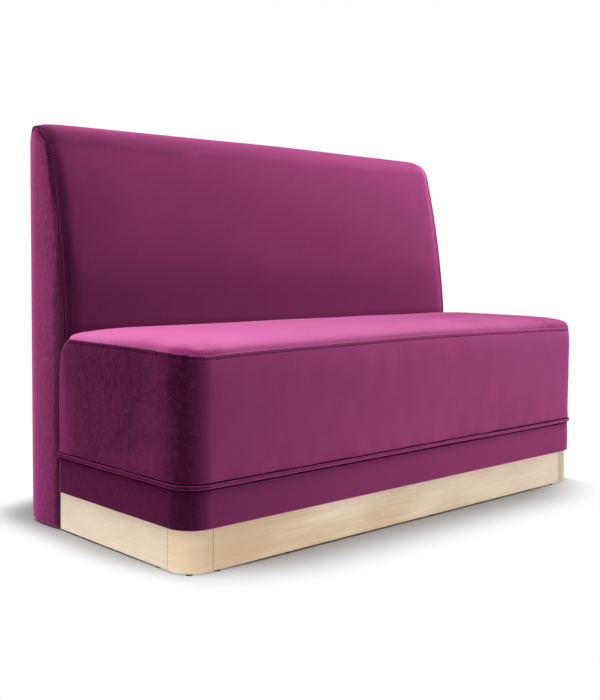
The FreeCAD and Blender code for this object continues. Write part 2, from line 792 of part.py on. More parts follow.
def former_face():
    """The plywood side profile of the back's frame."""
    p = board_line(former_inset, depth + size("bent_board"))
    top_rear = Vector(0, rear_at(p["crest_front"].z) - wood_rear, p["crest_front"].z)
    heel = size("heel_radius")
    run = heel - wood_rear
    bend = math.sqrt(0.5)
    centre = Vector(0, rear_at(foot + heel) - heel, foot + heel)
    heel_high = centre + Vector(0, run, 0)
    heel_middle = centre + Vector(0, run * bend, -run * bend)
    heel_low = centre + Vector(0, 0, -run)
    step_high = heel_low - Vector(0, gap, 0)
    step_low = Vector(0, step_high.y, foot)
    low_front = Vector(0, depth, foot)
    tuck_front = Vector(0, depth, tuck_height)
    return Part.Face(Part.Wire([
        line(low_front, tuck_front),
        line(tuck_front, p["tuck"]),
        line(p["tuck"], p["lumbar"]),
        arc(p["lumbar"], p["belly"], p["shoulder"]),
        arc(p["shoulder"], p["crest"], p["crest_front"]),
        line(p["crest_front"], top_rear),
        line(top_rear, heel_high),
        arc(heel_high, heel_middle, heel_low),
        line(heel_low, step_high),
        line(step_high, step_low),
        line(step_low, low_front),
    ]))


def back_frame():
    """Plywood formers with notches for the rails, the rails, and a bottom board."""
    inner = frame_half - board
    rail = size("rail_thickness")
    face = former_face()
    crest_level = front_line(0, former_inset)["crest_front"].z
    top_low = crest_level - size("top_rail")
    top_rear = rear_at(top_low) - wood_rear
    middle_low = size("lumbar_height") - size("top_rail") / 2
    middle_rear = rear_at(middle_low) - wood_rear
    join_low = box_top - size("joining_rail")
    floor_depth = size("back_foot_depth") - size("heel_radius") - wood_rear
    for name, side in SIDES:
        start = side * frame_half - (board if side > 0 else 0)
        former = face.translated(Vector(start, 0, 0)).extrude(Vector(board, 0, 0))
        shaped(f"back_end_former_{name}", former)
    spans = {
        "back_joining_rail": (depth, rail, join_low, size("joining_rail")),
        "back_top_rail": (top_rear - rail, rail, top_low, size("top_rail")),
        "back_middle_rail": (middle_rear - rail, rail, middle_low, size("top_rail")),
        "back_bottom_board": (depth, floor_depth, foot, board),
    }
    rails = {
        name: Part.makeBox(2 * inner, deep, tall, Vector(-inner, y, z))
        for name, (y, deep, z, tall) in spans.items()
    }
    notches = [
        Part.makeBox(2 * inner, rail + overrun, tall, Vector(-inner, y - (overrun if y == depth else 0), z))
        for name, (y, deep, z, tall) in spans.items() if name != "back_bottom_board"
    ]
    notches.append(
        Part.makeBox(2 * inner, 2 * size("back_foot_depth"), board, Vector(-inner, depth, foot))
    )
    formers = []
    for share in divider_shares:
        former = face.translated(Vector(share * 2 * half - board / 2, 0, 0)).extrude(Vector(board, 0, 0))
        for notch in notches:
            former = former.cut(notch)
        formers.append(former)
    shaped("back_inner_formers", Part.makeCompound(formers))
    bore = size("screw_diameter") / 2 + size("hole_clearance")
    screw_end = depth - board - size("washer_thickness") + size("screw_length") + size("hole_clearance")
    for share in screw_shares:
        at = Vector(share * 2 * half, screw_end, box_top - size("joining_rail") / 2)
        rails["back_joining_rail"] = rails["back_joining_rail"].cut(
            Part.makeCylinder(bore, rail + overrun, at, Vector(0, -1, 0))
        )
    wide = size("glide_tack_width") + 2 * size("hole_clearance")
    tall = overrun + size("glide_tack_length") + size("hole_clearance")
    rear = depth + rear_glide_depth_share * size("back_foot_depth")
    for share in rear_glide_shares:
        at = Vector(share * 2 * half - wide / 2, rear - wide / 2, foot - overrun)
        rails["back_bottom_board"] = rails["back_bottom_board"].cut(Part.makeBox(wide, wide, tall, at))
    for name, shape in rails.items():
        shaped(name, shape)


def back_boards():
    """Bent plywood on the front of the formers, and hardboard on their rear."""
    outer = board_line(board_inset, depth)
    inner = board_line(former_inset, depth + size("bent_board"))
    shaped("back_front_board", along_back(Part.Wire([
        line(outer["tuck"], outer["lumbar"]),
        arc(outer["lumbar"], outer["belly"], outer["shoulder"]),
        line(outer["shoulder"], inner["shoulder"]),
        arc(inner["shoulder"], inner["belly"], inner["lumbar"]),
        line(inner["lumbar"], inner["tuck"]),
        line(inner["tuck"], outer["tuck"]),
    ]), frame_half))
    low = foot + size("heel_radius")
    high = inner["crest_front"].z
    shaped("back_rear_board", along_back(Part.makePolygon([
        Vector(0, rear_at(low) - cover, low),
        Vector(0, rear_at(high) - cover, high),
        Vector(0, rear_at(high) - wood_rear, high),
        Vector(0, rear_at(low) - wood_rear, low),
        Vector(0, rear_at(low) - cover, low),
    ]), frame_half))


def back_padding():
    """Foam and velvet on the front and over the crest, swelling between the side seams."""
    shaped("back_foam", Part.makeLoft(sections_along(frame_half, foam_section), True, True))
    shaped("back_front_cover", Part.makeLoft(sections_along(half, cover_section), True, True))


def back_sides():
    """Padded side panels inside the edges of the front and rear covers."""
    p = front_line(0, foam_inset)
    heel = size("heel_radius")
    rear_inset = cover + gap
    top = Vector(0, rear_at(p["rear_top"].z) - rear_inset, p["rear_top"].z)
    heel_high = Vector(0, rear_at(foot + heel) - rear_inset, foot + heel)
    heel_low = Vector(0, rear_at(foot) - heel, foot + rear_inset)
    run = heel - rear_inset
    bend = math.sqrt(0.5)
    heel_middle = Vector(0, heel_high.y - run * (1 - bend), heel_high.z - run * bend)
    low_rear = Vector(0, heel_low.y, foot)
    low_front = Vector(0, depth + gap, foot)
    front_tuck = Vector(0, depth + gap, tuck_height)
    face = Part.Face(Part.Wire([
        line(low_front, front_tuck),
        line(front_tuck, p["tuck"]),
    ] + front_edges(p) + [
        line(p["rear_top"], heel_high),
        arc(heel_high, heel_middle, heel_low),
        line(heel_low, low_rear),
        line(low_rear, low_front),
    ]))
    for name, side in SIDES:
        start = -half if side < 0 else frame_half
        panel = face.translated(Vector(start, 0, 0)).extrude(Vector(half - frame_half, 0, 0))
        shaped(f"back_side_cover_{name}", panel)


def back_rear_cover():
    """Velvet over the rear, turned under the heel."""
    heel = size("heel_radius")
    bend = math.sqrt(0.5)
    high = front_line(0, 0)["rear_top"].z - gap
    centre = Vector(0, rear_at(foot + heel) - heel, foot + heel)
    outer_middle = centre + Vector(0, heel * bend, -heel * bend)
    inner_middle = centre + Vector(0, (heel - cover) * bend, (cover - heel) * bend)
    outer_low = centre + Vector(0, 0, -heel)
    inner_low = centre + Vector(0, 0, cover - heel)
    outer_high = centre + Vector(0, heel, 0)
    inner_high = centre + Vector(0, heel - cover, 0)
    outer_top = Vector(0, rear_at(high), high)
    inner_top = Vector(0, rear_at(high) - cover, high)
    shaped("back_rear_cover", along_back(Part.Wire([
        line(outer_top, outer_high),
        arc(outer_high, outer_middle, outer_low),
        line(outer_low, inner_low),
        arc(inner_low, inner_middle, inner_high),
        line(inner_high, inner_top),
        line(inner_top, outer_top),
    ]), half))


# The coach screws that hold the back to the seat box


def hexagon_prism(across, height):
    corner = across / math.sqrt(3)
    points = [
        Vector(corner * math.cos(math.radians(a)), corner * math.sin(math.radians(a)), 0)
        for a in range(0, 360, 60)
    ]
    return Part.Face(Part.makePolygon(points + points[:1])).extrude(Vector(0, 0, height))


def fasteners():
    shank = size("screw_diameter") / 2
    plate = size("washer_thickness")
    head = size("screw_head_height")
    screw = hexagon_prism(size("screw_head_width"), head)
    screw = screw.fuse(Part.makeCylinder(shank, size("screw_length"), Vector(0, 0, head))).removeSplitter()
    washer = Part.makeCylinder(size("washer_diameter") / 2, plate)
    washer = washer.cut(Part.makeCylinder(shank + size("hole_clearance"), plate))
    face = depth - board
    level = box_top - size("joining_rail") / 2
    starts = {"joining_screws": (screw, face - plate - head), "screw_washers": (washer, face - plate)}
    for name, (shape, y) in starts.items():
        placed = []
        for share in screw_shares:
            piece = shape.copy()
            piece.rotate(Vector(), Vector(1, 0, 0), -90)
            piece.translate(Vector(share * 2 * half, y, level))
            placed.append(piece)
        shaped(name, Part.makeCompound(placed))


plinth_boards()
plinth_inside()
dust_cloth()
glides()
seat_box()
webbing()
seat_padding()
fascia()
piping()
back_frame()
back_boards()
back_padding()
back_sides()
back_rear_cover()
fasteners()
doc.recompute()

# Every object has to be sound before anything is written

for obj in doc.Objects:
    bad = [state for state in obj.State if state in ("Invalid", "Error")]
    if bad:
        raise RuntimeError(f"{obj.Label}: {bad}")
unsound = [
    name for name, obj in parts.items()
    if obj.Shape.isNull() or not obj.Shape.isValid() or not obj.Shape.Solids
]
if unsound:
    raise RuntimeError(f"no sound solid: {unsound}")

os.makedirs("parts", exist_ok=True)
for name, obj in parts.items():
    obj.Shape.exportStep(f"parts/{name}.step")
    print(name, len(obj.Shape.Solids), round(obj.Shape.Volume / 1000, 1))
print(len(parts), "nodes")
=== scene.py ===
import math
import bmesh
import bpy
import numpy as np
from mathutils import Matrix, Vector, noise
from mathutils.bvhtree import BVHTree


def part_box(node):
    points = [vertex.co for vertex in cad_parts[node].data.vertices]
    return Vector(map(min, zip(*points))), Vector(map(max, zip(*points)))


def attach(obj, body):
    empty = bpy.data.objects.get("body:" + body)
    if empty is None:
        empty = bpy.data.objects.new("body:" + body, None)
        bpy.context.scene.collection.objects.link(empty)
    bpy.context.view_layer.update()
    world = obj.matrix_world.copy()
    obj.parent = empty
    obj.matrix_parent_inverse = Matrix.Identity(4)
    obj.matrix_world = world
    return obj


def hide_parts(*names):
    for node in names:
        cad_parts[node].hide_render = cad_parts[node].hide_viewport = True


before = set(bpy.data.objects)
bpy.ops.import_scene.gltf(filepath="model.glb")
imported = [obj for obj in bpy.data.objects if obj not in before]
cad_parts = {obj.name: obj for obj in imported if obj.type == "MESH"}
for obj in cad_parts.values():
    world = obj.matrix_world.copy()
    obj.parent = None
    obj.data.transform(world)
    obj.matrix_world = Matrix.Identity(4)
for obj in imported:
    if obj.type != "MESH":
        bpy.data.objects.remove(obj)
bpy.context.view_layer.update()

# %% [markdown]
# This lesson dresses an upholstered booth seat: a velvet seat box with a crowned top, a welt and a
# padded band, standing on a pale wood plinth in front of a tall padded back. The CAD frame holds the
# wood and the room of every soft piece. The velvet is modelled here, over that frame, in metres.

MM = 0.001
front_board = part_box("plinth_front_board")
right_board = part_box("plinth_right_board")
foot = front_board[0].z
front = front_board[0].y
half = right_board[1].x
box_rear = right_board[1].y
border_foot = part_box("seat_border")[0].z
seam_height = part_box("seat_top_cover")[0].z
seat_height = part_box("seat_top_cover")[1].z
piping_low, piping_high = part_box("seat_piping")
print("plinth", round(2 * half, 3), "m long, seat", round(seat_height, 3), "m high")

# %% [markdown]
# Every soft piece here is a sheet of points in rows and columns. One helper turns such a grid into a
# mesh with smooth faces and a map in real metres, so that a nap can follow the cloth. Rows may close
# into rings, and points that fall together are merged, so that the seams and poles are closed.

# %% A grid of points becomes a mesh


def new_object(name, mesh):
    piece = bpy.data.objects.new(name, mesh)
    bpy.context.scene.collection.objects.link(piece)
    return piece


def points_of(mesh, what="co"):
    """The points of a mesh, or their normals, as rows of three."""
    values = np.zeros(len(mesh.vertices) * 3)
    mesh.vertices.foreach_get(what, values)
    return values.reshape(-1, 3)


def set_points(mesh, places):
    mesh.vertices.foreach_set("co", places.ravel())
    mesh.update()


def grid_mesh(name, rows, ring=False):
    """A smooth mesh through rows of points, which close into rings if ring is set."""
    points = np.array(rows, float)
    count, width, _ = points.shape
    across = np.linalg.norm(np.diff(points[:, :1], axis=0), axis=2)[:, 0]
    along = np.linalg.norm(np.diff(points[count // 2], axis=0), axis=1)
    v_place = np.concatenate([[0], np.cumsum(across)])
    u_place = np.concatenate([[0], np.cumsum(along)])
    faces = []
    maps = []
    for i in range(count - 1):
        for j in range(width if ring else width - 1):
            k = (j + 1) % width
            faces.append((i * width + j, i * width + k, (i + 1) * width + k, (i + 1) * width + j))
            u_next = u_place[k] if k else u_place[-1] + along[-1]
            maps += [
                (u_place[j], v_place[i]), (u_next, v_place[i]),
                (u_next, v_place[i + 1]), (u_place[j], v_place[i + 1]),
            ]
    mesh = bpy.data.meshes.new(name)
    mesh.from_pydata(points.reshape(-1, 3).tolist(), [], faces)
    layer = mesh.uv_layers.new(name="cloth")
    layer.data.foreach_set("uv", np.array(maps, np.float32).ravel())
    mesh.shade_smooth()
    return new_object(name, mesh)


def clean_up(piece, reach=0.02 * MM):
    """Merges points that fall together and turns all faces outwards."""
    work = bmesh.new()
    work.from_mesh(piece.data)
    bmesh.ops.remove_doubles(work, verts=work.verts, dist=reach)
    bmesh.ops.dissolve_degenerate(work, edges=work.edges, dist=reach / 2)
    bmesh.ops.recalc_face_normals(work, faces=work.faces)
    work.to_mesh(piece.data)
    work.free()
    return piece


def smooth_through(shares, at):
    """A smooth curve through a short table of shares, read at one place."""
    places = [row[0] for row in shares]
    i = max(1, min(len(shares) - 1, int(np.searchsorted(places, at))))
    low, high = shares[i - 1], shares[i]
    before = shares[max(i - 2, 0)]
    after = shares[min(i + 1, len(shares) - 1)]
    span = high[0] - low[0]
    t = (at - low[0]) / span
    slope_low = (high[1] - before[1]) / (high[0] - before[0]) * span
    slope_high = (after[1] - low[1]) / (after[0] - low[0]) * span
    return (
        (2 * t ** 3 - 3 * t ** 2 + 1) * low[1] + (t ** 3 - 2 * t ** 2 + t) * slope_low
        + (3 * t ** 2 - 2 * t ** 3) * high[1] + (t ** 3 - t ** 2) * slope_high
    )


print("grid helper ready")

# %% [markdown]
# The seat is one cushion to the eye: a border that leans out a little and rounds in at its top, and a
# crowned top cover sewn to it. Both follow the plinth's outline, so the whole cushion is a stack of
# rings. Each ring is a rounded rectangle with its own outset, rear edge and rear corner radius. The
# top's rings shrink until they fall together on a line along the middle. At its foot the border turns
# in over a few rings, whose lift and inset are in millimetres.

# %% Rings of the seat
CORNER = 50 * MM
LONG_STEPS = 96
SIDE_STEPS = 34
TURN_STEPS = 12
BORDER_STEPS = 24
CROWN_STEPS = 14
TOP_STEPS = 9
CROWN_POWER = 2.6
border_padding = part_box("seat_border")[1].x - half
cushion_clearance = 0.7 * MM
cushion_rear = box_rear - cushion_clearance
set_in = cushion_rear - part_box("seat_top_cover")[1].y
welt_level = (piping_high.z + piping_low.z) / 2
rear_corner = 45 * MM
least_corner = 2 * MM
least_ring = 0.01 * MM
crown_reach = 150 * MM
outset_shares = (
    (0.0, 0.86), (0.06, 0.8), (0.15, 0.77), (0.3, 0.82),
    (0.66, 0.95), (0.82, 1.0), (0.93, 0.9), (1.0, 0.68),
)
rear_shares = (
    (0.0, 0.0), (0.5, 0.03), (0.68, 0.42), (0.75, 0.52), (0.87, 0.69), (0.95, 0.87), (1.0, 1.0),
)
corner_shares = (
    (0.0, 0.22), (0.1, 0.32), (0.5, 0.33), (0.66, 0.18), (0.75, 0.17), (0.83, 0.18),
    (0.88, 0.25), (0.92, 0.36), (0.98, 0.64), (1.0, 1.0),
)


def line_points(first, last, steps):
    for i in range(steps):
        t = i / steps
        yield first[0] + (last[0] - first[0]) * t, first[1] + (last[1] - first[1]) * t


def turn_points(x, y, radius, start):
    """A quarter turn about a middle, from a starting angle."""
    for i in range(TURN_STEPS):
        a = start + math.pi / 2 * i / TURN_STEPS
        yield x + radius * math.cos(a), y + radius * math.sin(a)


def ring(half_x, low_y, high_y, front_radius, rear_radius, z):
    """A level rounded rectangle from the middle of its rear, by the left side, right round."""
    fr, rr = front_radius, rear_radius
    path = list(line_points((0, high_y), (-half_x + rr, high_y), LONG_STEPS // 2))
    path += turn_points(-half_x + rr, high_y - rr, rr, math.pi / 2)
    path += line_points((-half_x, high_y - rr), (-half_x, low_y + fr), SIDE_STEPS)
    path += turn_points(-half_x + fr, low_y + fr, fr, math.pi)
    path += line_points((-half_x + fr, low_y), (half_x - fr, low_y), LONG_STEPS)
    path += turn_points(half_x - fr, low_y + fr, fr, -math.pi / 2)
    path += line_points((half_x, low_y + fr), (half_x, high_y - rr), SIDE_STEPS)
    path += turn_points(half_x - rr, high_y - rr, rr, 0.0)
    path += line_points((half_x - rr, high_y), (0, high_y), LONG_STEPS // 2)
    return [(x, y, z) for x, y in path]


def border_ring(share, inwards=0.0):
    """A ring of the border, at a share of the way from the welt up to the seam."""
    outset = border_padding * smooth_through(outset_shares, share) - inwards
    return ring(
        half + outset,
        front - outset,
        cushion_rear - set_in * smooth_through(rear_shares, share),
        CORNER + outset,
        max(rear_corner * smooth_through(corner_shares, share) - inwards, least_corner),
        border_foot + (seam_height - border_foot) * share,
    )


def top_ring(inset, height):
    """A ring of the top cover; the rear comes in more slowly near the seam, where it meets the back."""
    seam_outset = border_padding * outset_shares[-1][1]
    seam_rear = cushion_rear - set_in
    reach = (seam_rear - front + seam_outset) / 2
    share = inset / reach
    low_y = front - seam_outset + inset
    high_y = seam_rear - inset
    most = max((high_y - low_y) / 2, least_ring)
    return ring(
        half + seam_outset - inset,
        low_y,
        high_y,
        min((CORNER + seam_outset) * (1 + 0.3 * share), most),
        min(rear_corner * (1 + 0.9 * math.sqrt(share)), most),
        height,
    )


tucked_in = 8.4 * MM
tucked_down = 1.5 * MM
foot_turn = ((0.1, 6.5), (0.2, 2.0), (0.7, 0.9), (1.7, 0.3), (3.5, 0.05))
rows = [[(x, y, welt_level - tucked_down) for x, y, _ in border_ring(0, tucked_in)]]
for lift, inwards in foot_turn:
    rows.append(border_ring(lift * MM / (seam_height - border_foot), inwards * MM))
foot_rows = len(rows)
seam_marks = (0.955, 0.972, 0.986)
levels = [i / BORDER_STEPS for i in range(1, BORDER_STEPS)]
for share in sorted(set(levels + list(seam_marks) + [1.0])):
    rows.append(border_ring(share))
seam_row = len(rows) - 1
rise = seat_height - seam_height
for i in range(1, CROWN_STEPS + 1):
    turn = math.pi / 2 * i / CROWN_STEPS
    inwards = crown_reach * (1 - max(math.cos(turn), 0) ** (2 / CROWN_POWER))
    rows.append(top_ring(inwards, seam_height + rise * math.sin(turn) ** (2 / CROWN_POWER)))
inner = (cushion_rear - set_in - front + border_padding * outset_shares[-1][1]) / 2
for i in range(1, TOP_STEPS + 1):
    rows.append(top_ring(crown_reach + (inner - crown_reach) * i / TOP_STEPS, seat_height))
seat = grid_mesh("seat_cushion_velvet", rows, ring=True)
seat_width = len(rows[0])
print("seat rings", len(rows), "of", seat_width, "points")

# %% [markdown]
# The back's front is one sheet that comes up out of the seat, bows forward, turns over the crest and
# ends at a seam along the rear. Its side profile is a line, a shallow bow and two arcs. The padding
# swells fast just inside each side seam and then slowly towards the middle, which a sum of two
# fading curves gives.

# %% The back's profile and its front sheet
front_crest = 62 * MM
rear_crest = 25 * MM
crest_flat = 6 * MM
shoulder_angle = math.radians(17)
tuck_rise = 12 * MM
lumbar_height = 454 * MM
lumbar_forward = 16 * MM
tuck_forward = 6 * MM
belly = 9.5 * MM
back_foot_depth = 127 * MM
back_lean = 16 * MM
back_seam_height = 903 * MM
tuck_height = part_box("seat_rear_panel")[1].z + tuck_rise
TUCK_STEPS = 10
BOW_STEPS = 40
FRONT_CREST_STEPS = 16
REAR_CREST_STEPS = 12


def rear_at(height):
    """The outer face of the back's rear, which leans back as it goes up."""
    return box_rear + back_foot_depth + back_lean * height / back_seam_height


rear_centre = (rear_at(back_seam_height - rear_crest) - rear_crest, back_seam_height - rear_crest)
front_centre = (rear_centre[0] - crest_flat, back_seam_height - front_crest)


def back_profile():
    """Points, outward directions and the way up: 0 at the seat, 1 at the crest and 2 at the rear."""
    out = []
    tuck = np.array((box_rear - tuck_forward, tuck_height))
    lumbar = np.array((box_rear - lumbar_forward, lumbar_height))
    for i in range(TUCK_STEPS):
        t = i / TUCK_STEPS
        out.append((tuck + (lumbar - tuck) * t, (-1.0, 0.0), 0.0))
    shoulder = np.array((
        front_centre[0] - front_crest * math.cos(shoulder_angle),
        front_centre[1] + front_crest * math.sin(shoulder_angle),
    ))
    chord = shoulder - lumbar
    bow_out = np.array((-chord[1], chord[0])) / np.linalg.norm(chord)
    for i in range(BOW_STEPS):
        t = i / BOW_STEPS
        place = lumbar + chord * t + bow_out * belly * 4 * t * (1 - t)
        slope = chord + bow_out * belly * 4 * (1 - 2 * t)
        facing = np.array((-slope[1], slope[0])) / np.linalg.norm(slope)
        out.append((place, facing, t))
    for i in range(FRONT_CREST_STEPS + 1):
        a = shoulder_angle + (math.pi / 2 - shoulder_angle) * i / FRONT_CREST_STEPS
        facing = np.array((-math.cos(a), math.sin(a)))
        out.append((np.array(front_centre) + facing * front_crest, facing, 1.0))
    for i in range(REAR_CREST_STEPS + 1):
        t = i / REAR_CREST_STEPS
        a = math.pi / 2 * (1 - t)
        facing = np.array((math.cos(a), math.sin(a)))
        out.append((np.array(rear_centre) + facing * rear_crest, facing, 1 + t))
    return out


edge_lift = 1.0 * MM
edge_reach = 2.5 * MM
sewn_flat = 3 * MM
sewn_flat_low = 4 * MM
roll_lift = 5.0 * MM
roll_lift_low = 6.5 * MM
roll_reach = 13 * MM
roll_reach_low = 5 * MM
belly_lift = 5.0 * MM
belly_drop_low = 3.0 * MM
belly_reach = 230 * MM
most_tuck = 3 * MM


def soft_step(value, low=0.0, high=1.0):
    """From 0 at low to 1 at high, with soft ends."""
    t = min(max((value - low) / (high - low), 0.0), 1.0)
    return t * t * (3 - 2 * t)


def padding(distance, way_up):
    """How far the padding stands out near a side seam: a flat sewn edge, a roll and a slow belly."""
    full = 1 - 0.9 * soft_step(way_up, 1.3, 2.0)
    start = 0.5 + 0.5 * soft_step(way_up, 0.0, 0.35)
    low = 1 - min(way_up, 1.0) ** 4
    past_edge = max(distance - sewn_flat - sewn_flat_low * low, 0.0)
    edge = edge_lift * math.tanh(distance / edge_reach)
    roll = (roll_lift + roll_lift_low * low) * math.tanh(past_edge / (roll_reach + roll_reach_low * low))
    slow = (belly_lift - belly_drop_low * low) * (1 - math.exp(-distance / belly_reach))
    return (edge + roll + slow) * full * start


def seam_tuck(way_up):
    """How far a seam's cord sinks on its way down the rear of the crest."""
    return most_tuck * min(max((way_up - 1.2) / 0.5, 0.0), 1.0)


profile = back_profile()
edge_steps = (0.0, 1.5, 3.5, 6.0, 8.5, 11.0, 14.0, 18.0, 23.0, 29.0, 37.0, 47.0)
edge_margin = 60 * MM
inner_places = np.linspace(edge_margin - half, half - edge_margin, 110)
across = [-half + step * MM for step in edge_steps] + list(inner_places)
across += [half - step * MM for step in reversed(edge_steps)]
rows = []
for place, facing, way_up in profile:
    row = []
    narrower = 1 - seam_tuck(way_up) / half
    for x in across:
        out = padding(half - abs(x), way_up)
        row.append((x * narrower, place[0] + facing[0] * out, place[1] + facing[1] * out))
    rows.append(row)
back_sheet = grid_mesh("back_front_velvet", rows)
back_width = len(across)
print("back sheet", len(rows), "by", back_width)

# %% [markdown]
# Stuffing makes velvet swell between its seams. The seat's rings and the back's sheet are given to the
# cloth solver with a little air pressure and no gravity. Points along the seams are pinned, and no
# point may move more than a few millimetres, so the pieces stay in the room that the frame has.

# %% Swelling under pressure
PRESSURE = 4.0
SWELL_FRAMES = 20


def pin(piece, indices):
    group = piece.vertex_groups.new(name="pinned")
    group.add([int(i) for i in indices], 1.0, "REPLACE")


def eased(piece, amounts, times):
    """Spreads an amount at each point over its neighbours, so that no wrinkle is left in it."""
    ends = np.zeros(len(piece.data.edges) * 2, int)
    piece.data.edges.foreach_get("vertices", ends)
    ends = ends.reshape(-1, 2)
    near = np.bincount(ends.ravel(), minlength=len(amounts))
    for _ in range(times):
        total = np.bincount(ends[:, 0], amounts[ends[:, 1]], len(amounts))
        total += np.bincount(ends[:, 1], amounts[ends[:, 0]], len(amounts))
        amounts = np.where(amounts > 0, total / np.maximum(near, 1), 0.0)
    return amounts


def plump(caps, easing):
    """Runs the cloth solver on all the pieces and keeps how far each point swelled out, up to a cap."""
    scene = bpy.context.scene
    starts = {}
    for piece in caps:
        starts[piece] = points_of(piece.data), points_of(piece.data, "normal")
        cloth = piece.modifiers.new("swell", "CLOTH")
        cloth.settings.quality = 6
        cloth.settings.mass = 0.4
        cloth.settings.tension_stiffness = 30
        cloth.settings.compression_stiffness = 30
        cloth.settings.shear_stiffness = 10
        cloth.settings.bending_stiffness = 10
        cloth.settings.use_pressure = True
        cloth.settings.uniform_pressure_force = PRESSURE
        cloth.settings.effector_weights.gravity = 0
        cloth.settings.vertex_group_mass = "pinned"
        cloth.point_cache.frame_start = 1
        cloth.point_cache.frame_end = SWELL_FRAMES
    for number in range(1, SWELL_FRAMES + 1):
        scene.frame_set(number)
    graph = bpy.context.evaluated_depsgraph_get()
    for piece, cap in caps.items():
        place, facing = starts[piece]
        moved = points_of(piece.evaluated_get(graph).data)
        outwards = np.maximum(((moved - place) * facing).sum(1), 0.0)
        outwards = eased(piece, cap * np.tanh(outwards / cap), easing[piece])
        print(piece.name, "swelled by up to", round(float(outwards.max()) / MM, 1), "mm")
        piece.modifiers.remove(piece.modifiers["swell"])
        set_points(piece.data, place + facing * outwards[:, None])
    scene.frame_set(1)


seat_pins = set(range(foot_rows * seat_width))
for row in range(seam_row - 3, seam_row + 2):
    seat_pins |= set(range(row * seat_width, (row + 1) * seat_width))
clean_up(seat)
pin(seat, [i for i in seat_pins if i < len(seat.data.vertices)])
pinned_columns = 7
last_row = (len(profile) - 1) * back_width
back_pins = set(range(back_width)) | set(range(last_row, last_row + back_width))
for row in range(len(profile)):
    for column in range(pinned_columns):
        back_pins |= {row * back_width + column, (row + 1) * back_width - 1 - column}
pin(back_sheet, back_pins)
seat_swell = 1.2 * MM
back_swell = 2.5 * MM
plump({seat: seat_swell, back_sheet: back_swell}, {seat: 6, back_sheet: 60})
print("swelling done")

# %% [markdown]
# The padded band, the welt and the seams all follow the same way round the booth: up one side, round
# the front corners and down the other side. One helper gives that path at any outset. A second one
# sweeps a round cord along any path, with closed ends, which serves for the welt and for the raised
# edge of every seam.

# %% The way round the front, and a cord swept along a path
band_clearance = 0.6 * MM
band_rear = box_rear - band_clearance
band_step = 8 * MM


def round_front(outset, step=band_step, end=band_rear):
    """Points and outward directions: up the left side, round the front and down the right side."""
    radius = CORNER + outset
    side_count = max(2, round((end - front - CORNER) / step))
    turn_count = max(6, round(radius * math.pi / 2 / step * 1.5))
    front_count = max(2, round(2 * (half - CORNER) / step))
    way = []
    for i in range(side_count):
        way.append(((-half - outset, end + (front + CORNER - end) * i / side_count), (-1.0, 0.0)))
    for i in range(turn_count):
        a = math.pi + math.pi / 2 * i / turn_count
        facing = (math.cos(a), math.sin(a))
        way.append(((-half + CORNER + radius * facing[0], front + CORNER + radius * facing[1]), facing))
    for i in range(front_count):
        x = (-half + CORNER) * (1 - 2 * i / front_count)
        way.append(((x, front - outset), (0.0, -1.0)))
    for i in range(turn_count):
        a = -math.pi / 2 + math.pi / 2 * i / turn_count
        facing = (math.cos(a), math.sin(a))
        way.append(((half - CORNER + radius * facing[0], front + CORNER + radius * facing[1]), facing))
    for i in range(side_count + 1):
        y = front + CORNER + (end - front - CORNER) * i / side_count
        way.append(((half + outset, y), (1.0, 0.0)))
    return way


def close_holes(piece, sides):
    """Fills each open end of a tube and turns all faces outwards."""
    work = bmesh.new()
    work.from_mesh(piece.data)
    work.verts.ensure_lookup_table()
    bmesh.ops.holes_fill(work, edges=[e for e in work.edges if e.is_boundary], sides=sides)
    bmesh.ops.recalc_face_normals(work, faces=work.faces)
    work.to_mesh(piece.data)
    work.free()


def swept_cord(name, path, radius, sides=12, closed=False):
    """A round cord along a path of points, with rounded ends if it is open."""
    points = np.array(path, float)
    count = len(points)
    ahead = np.roll(points, -1, 0) - np.roll(points, 1, 0)
    if not closed:
        ahead[0] = points[1] - points[0]
        ahead[-1] = points[-1] - points[-2]
    ahead /= np.linalg.norm(ahead, axis=1, keepdims=True)
    side = np.cross(ahead[0], (0.0, 0.0, 1.0))
    if np.linalg.norm(side) < 0.1:
        side = np.cross(ahead[0], (1.0, 0.0, 0.0))
    rows = []
    for i in range(count):
        side = side - ahead[i] * np.dot(side, ahead[i])
        side /= np.linalg.norm(side)
        up = np.cross(side, ahead[i])
        row = []
        for k in range(sides):
            a = -2 * math.pi * k / sides
            row.append(points[i] + radius * (side * math.cos(a) + up * math.sin(a)))
        rows.append(row)
    if closed:
        rows.append(rows[0])
    else:
        for end, way in ((0, -1), (-1, 1)):
            middle = points[end]
            caps = []
            for a in (30, 60, 88):
                shrink = math.cos(math.radians(a))
                push = ahead[end] * way * radius * math.sin(math.radians(a))
                caps.append([middle + (p - middle) * shrink + push for p in rows[end]])
            rows = caps[::-1] + rows if end == 0 else rows + caps
    piece = grid_mesh(name, rows, ring=True)
    if closed:
        return clean_up(piece)
    close_holes(piece, sides)
    piece.data.shade_smooth()
    return piece
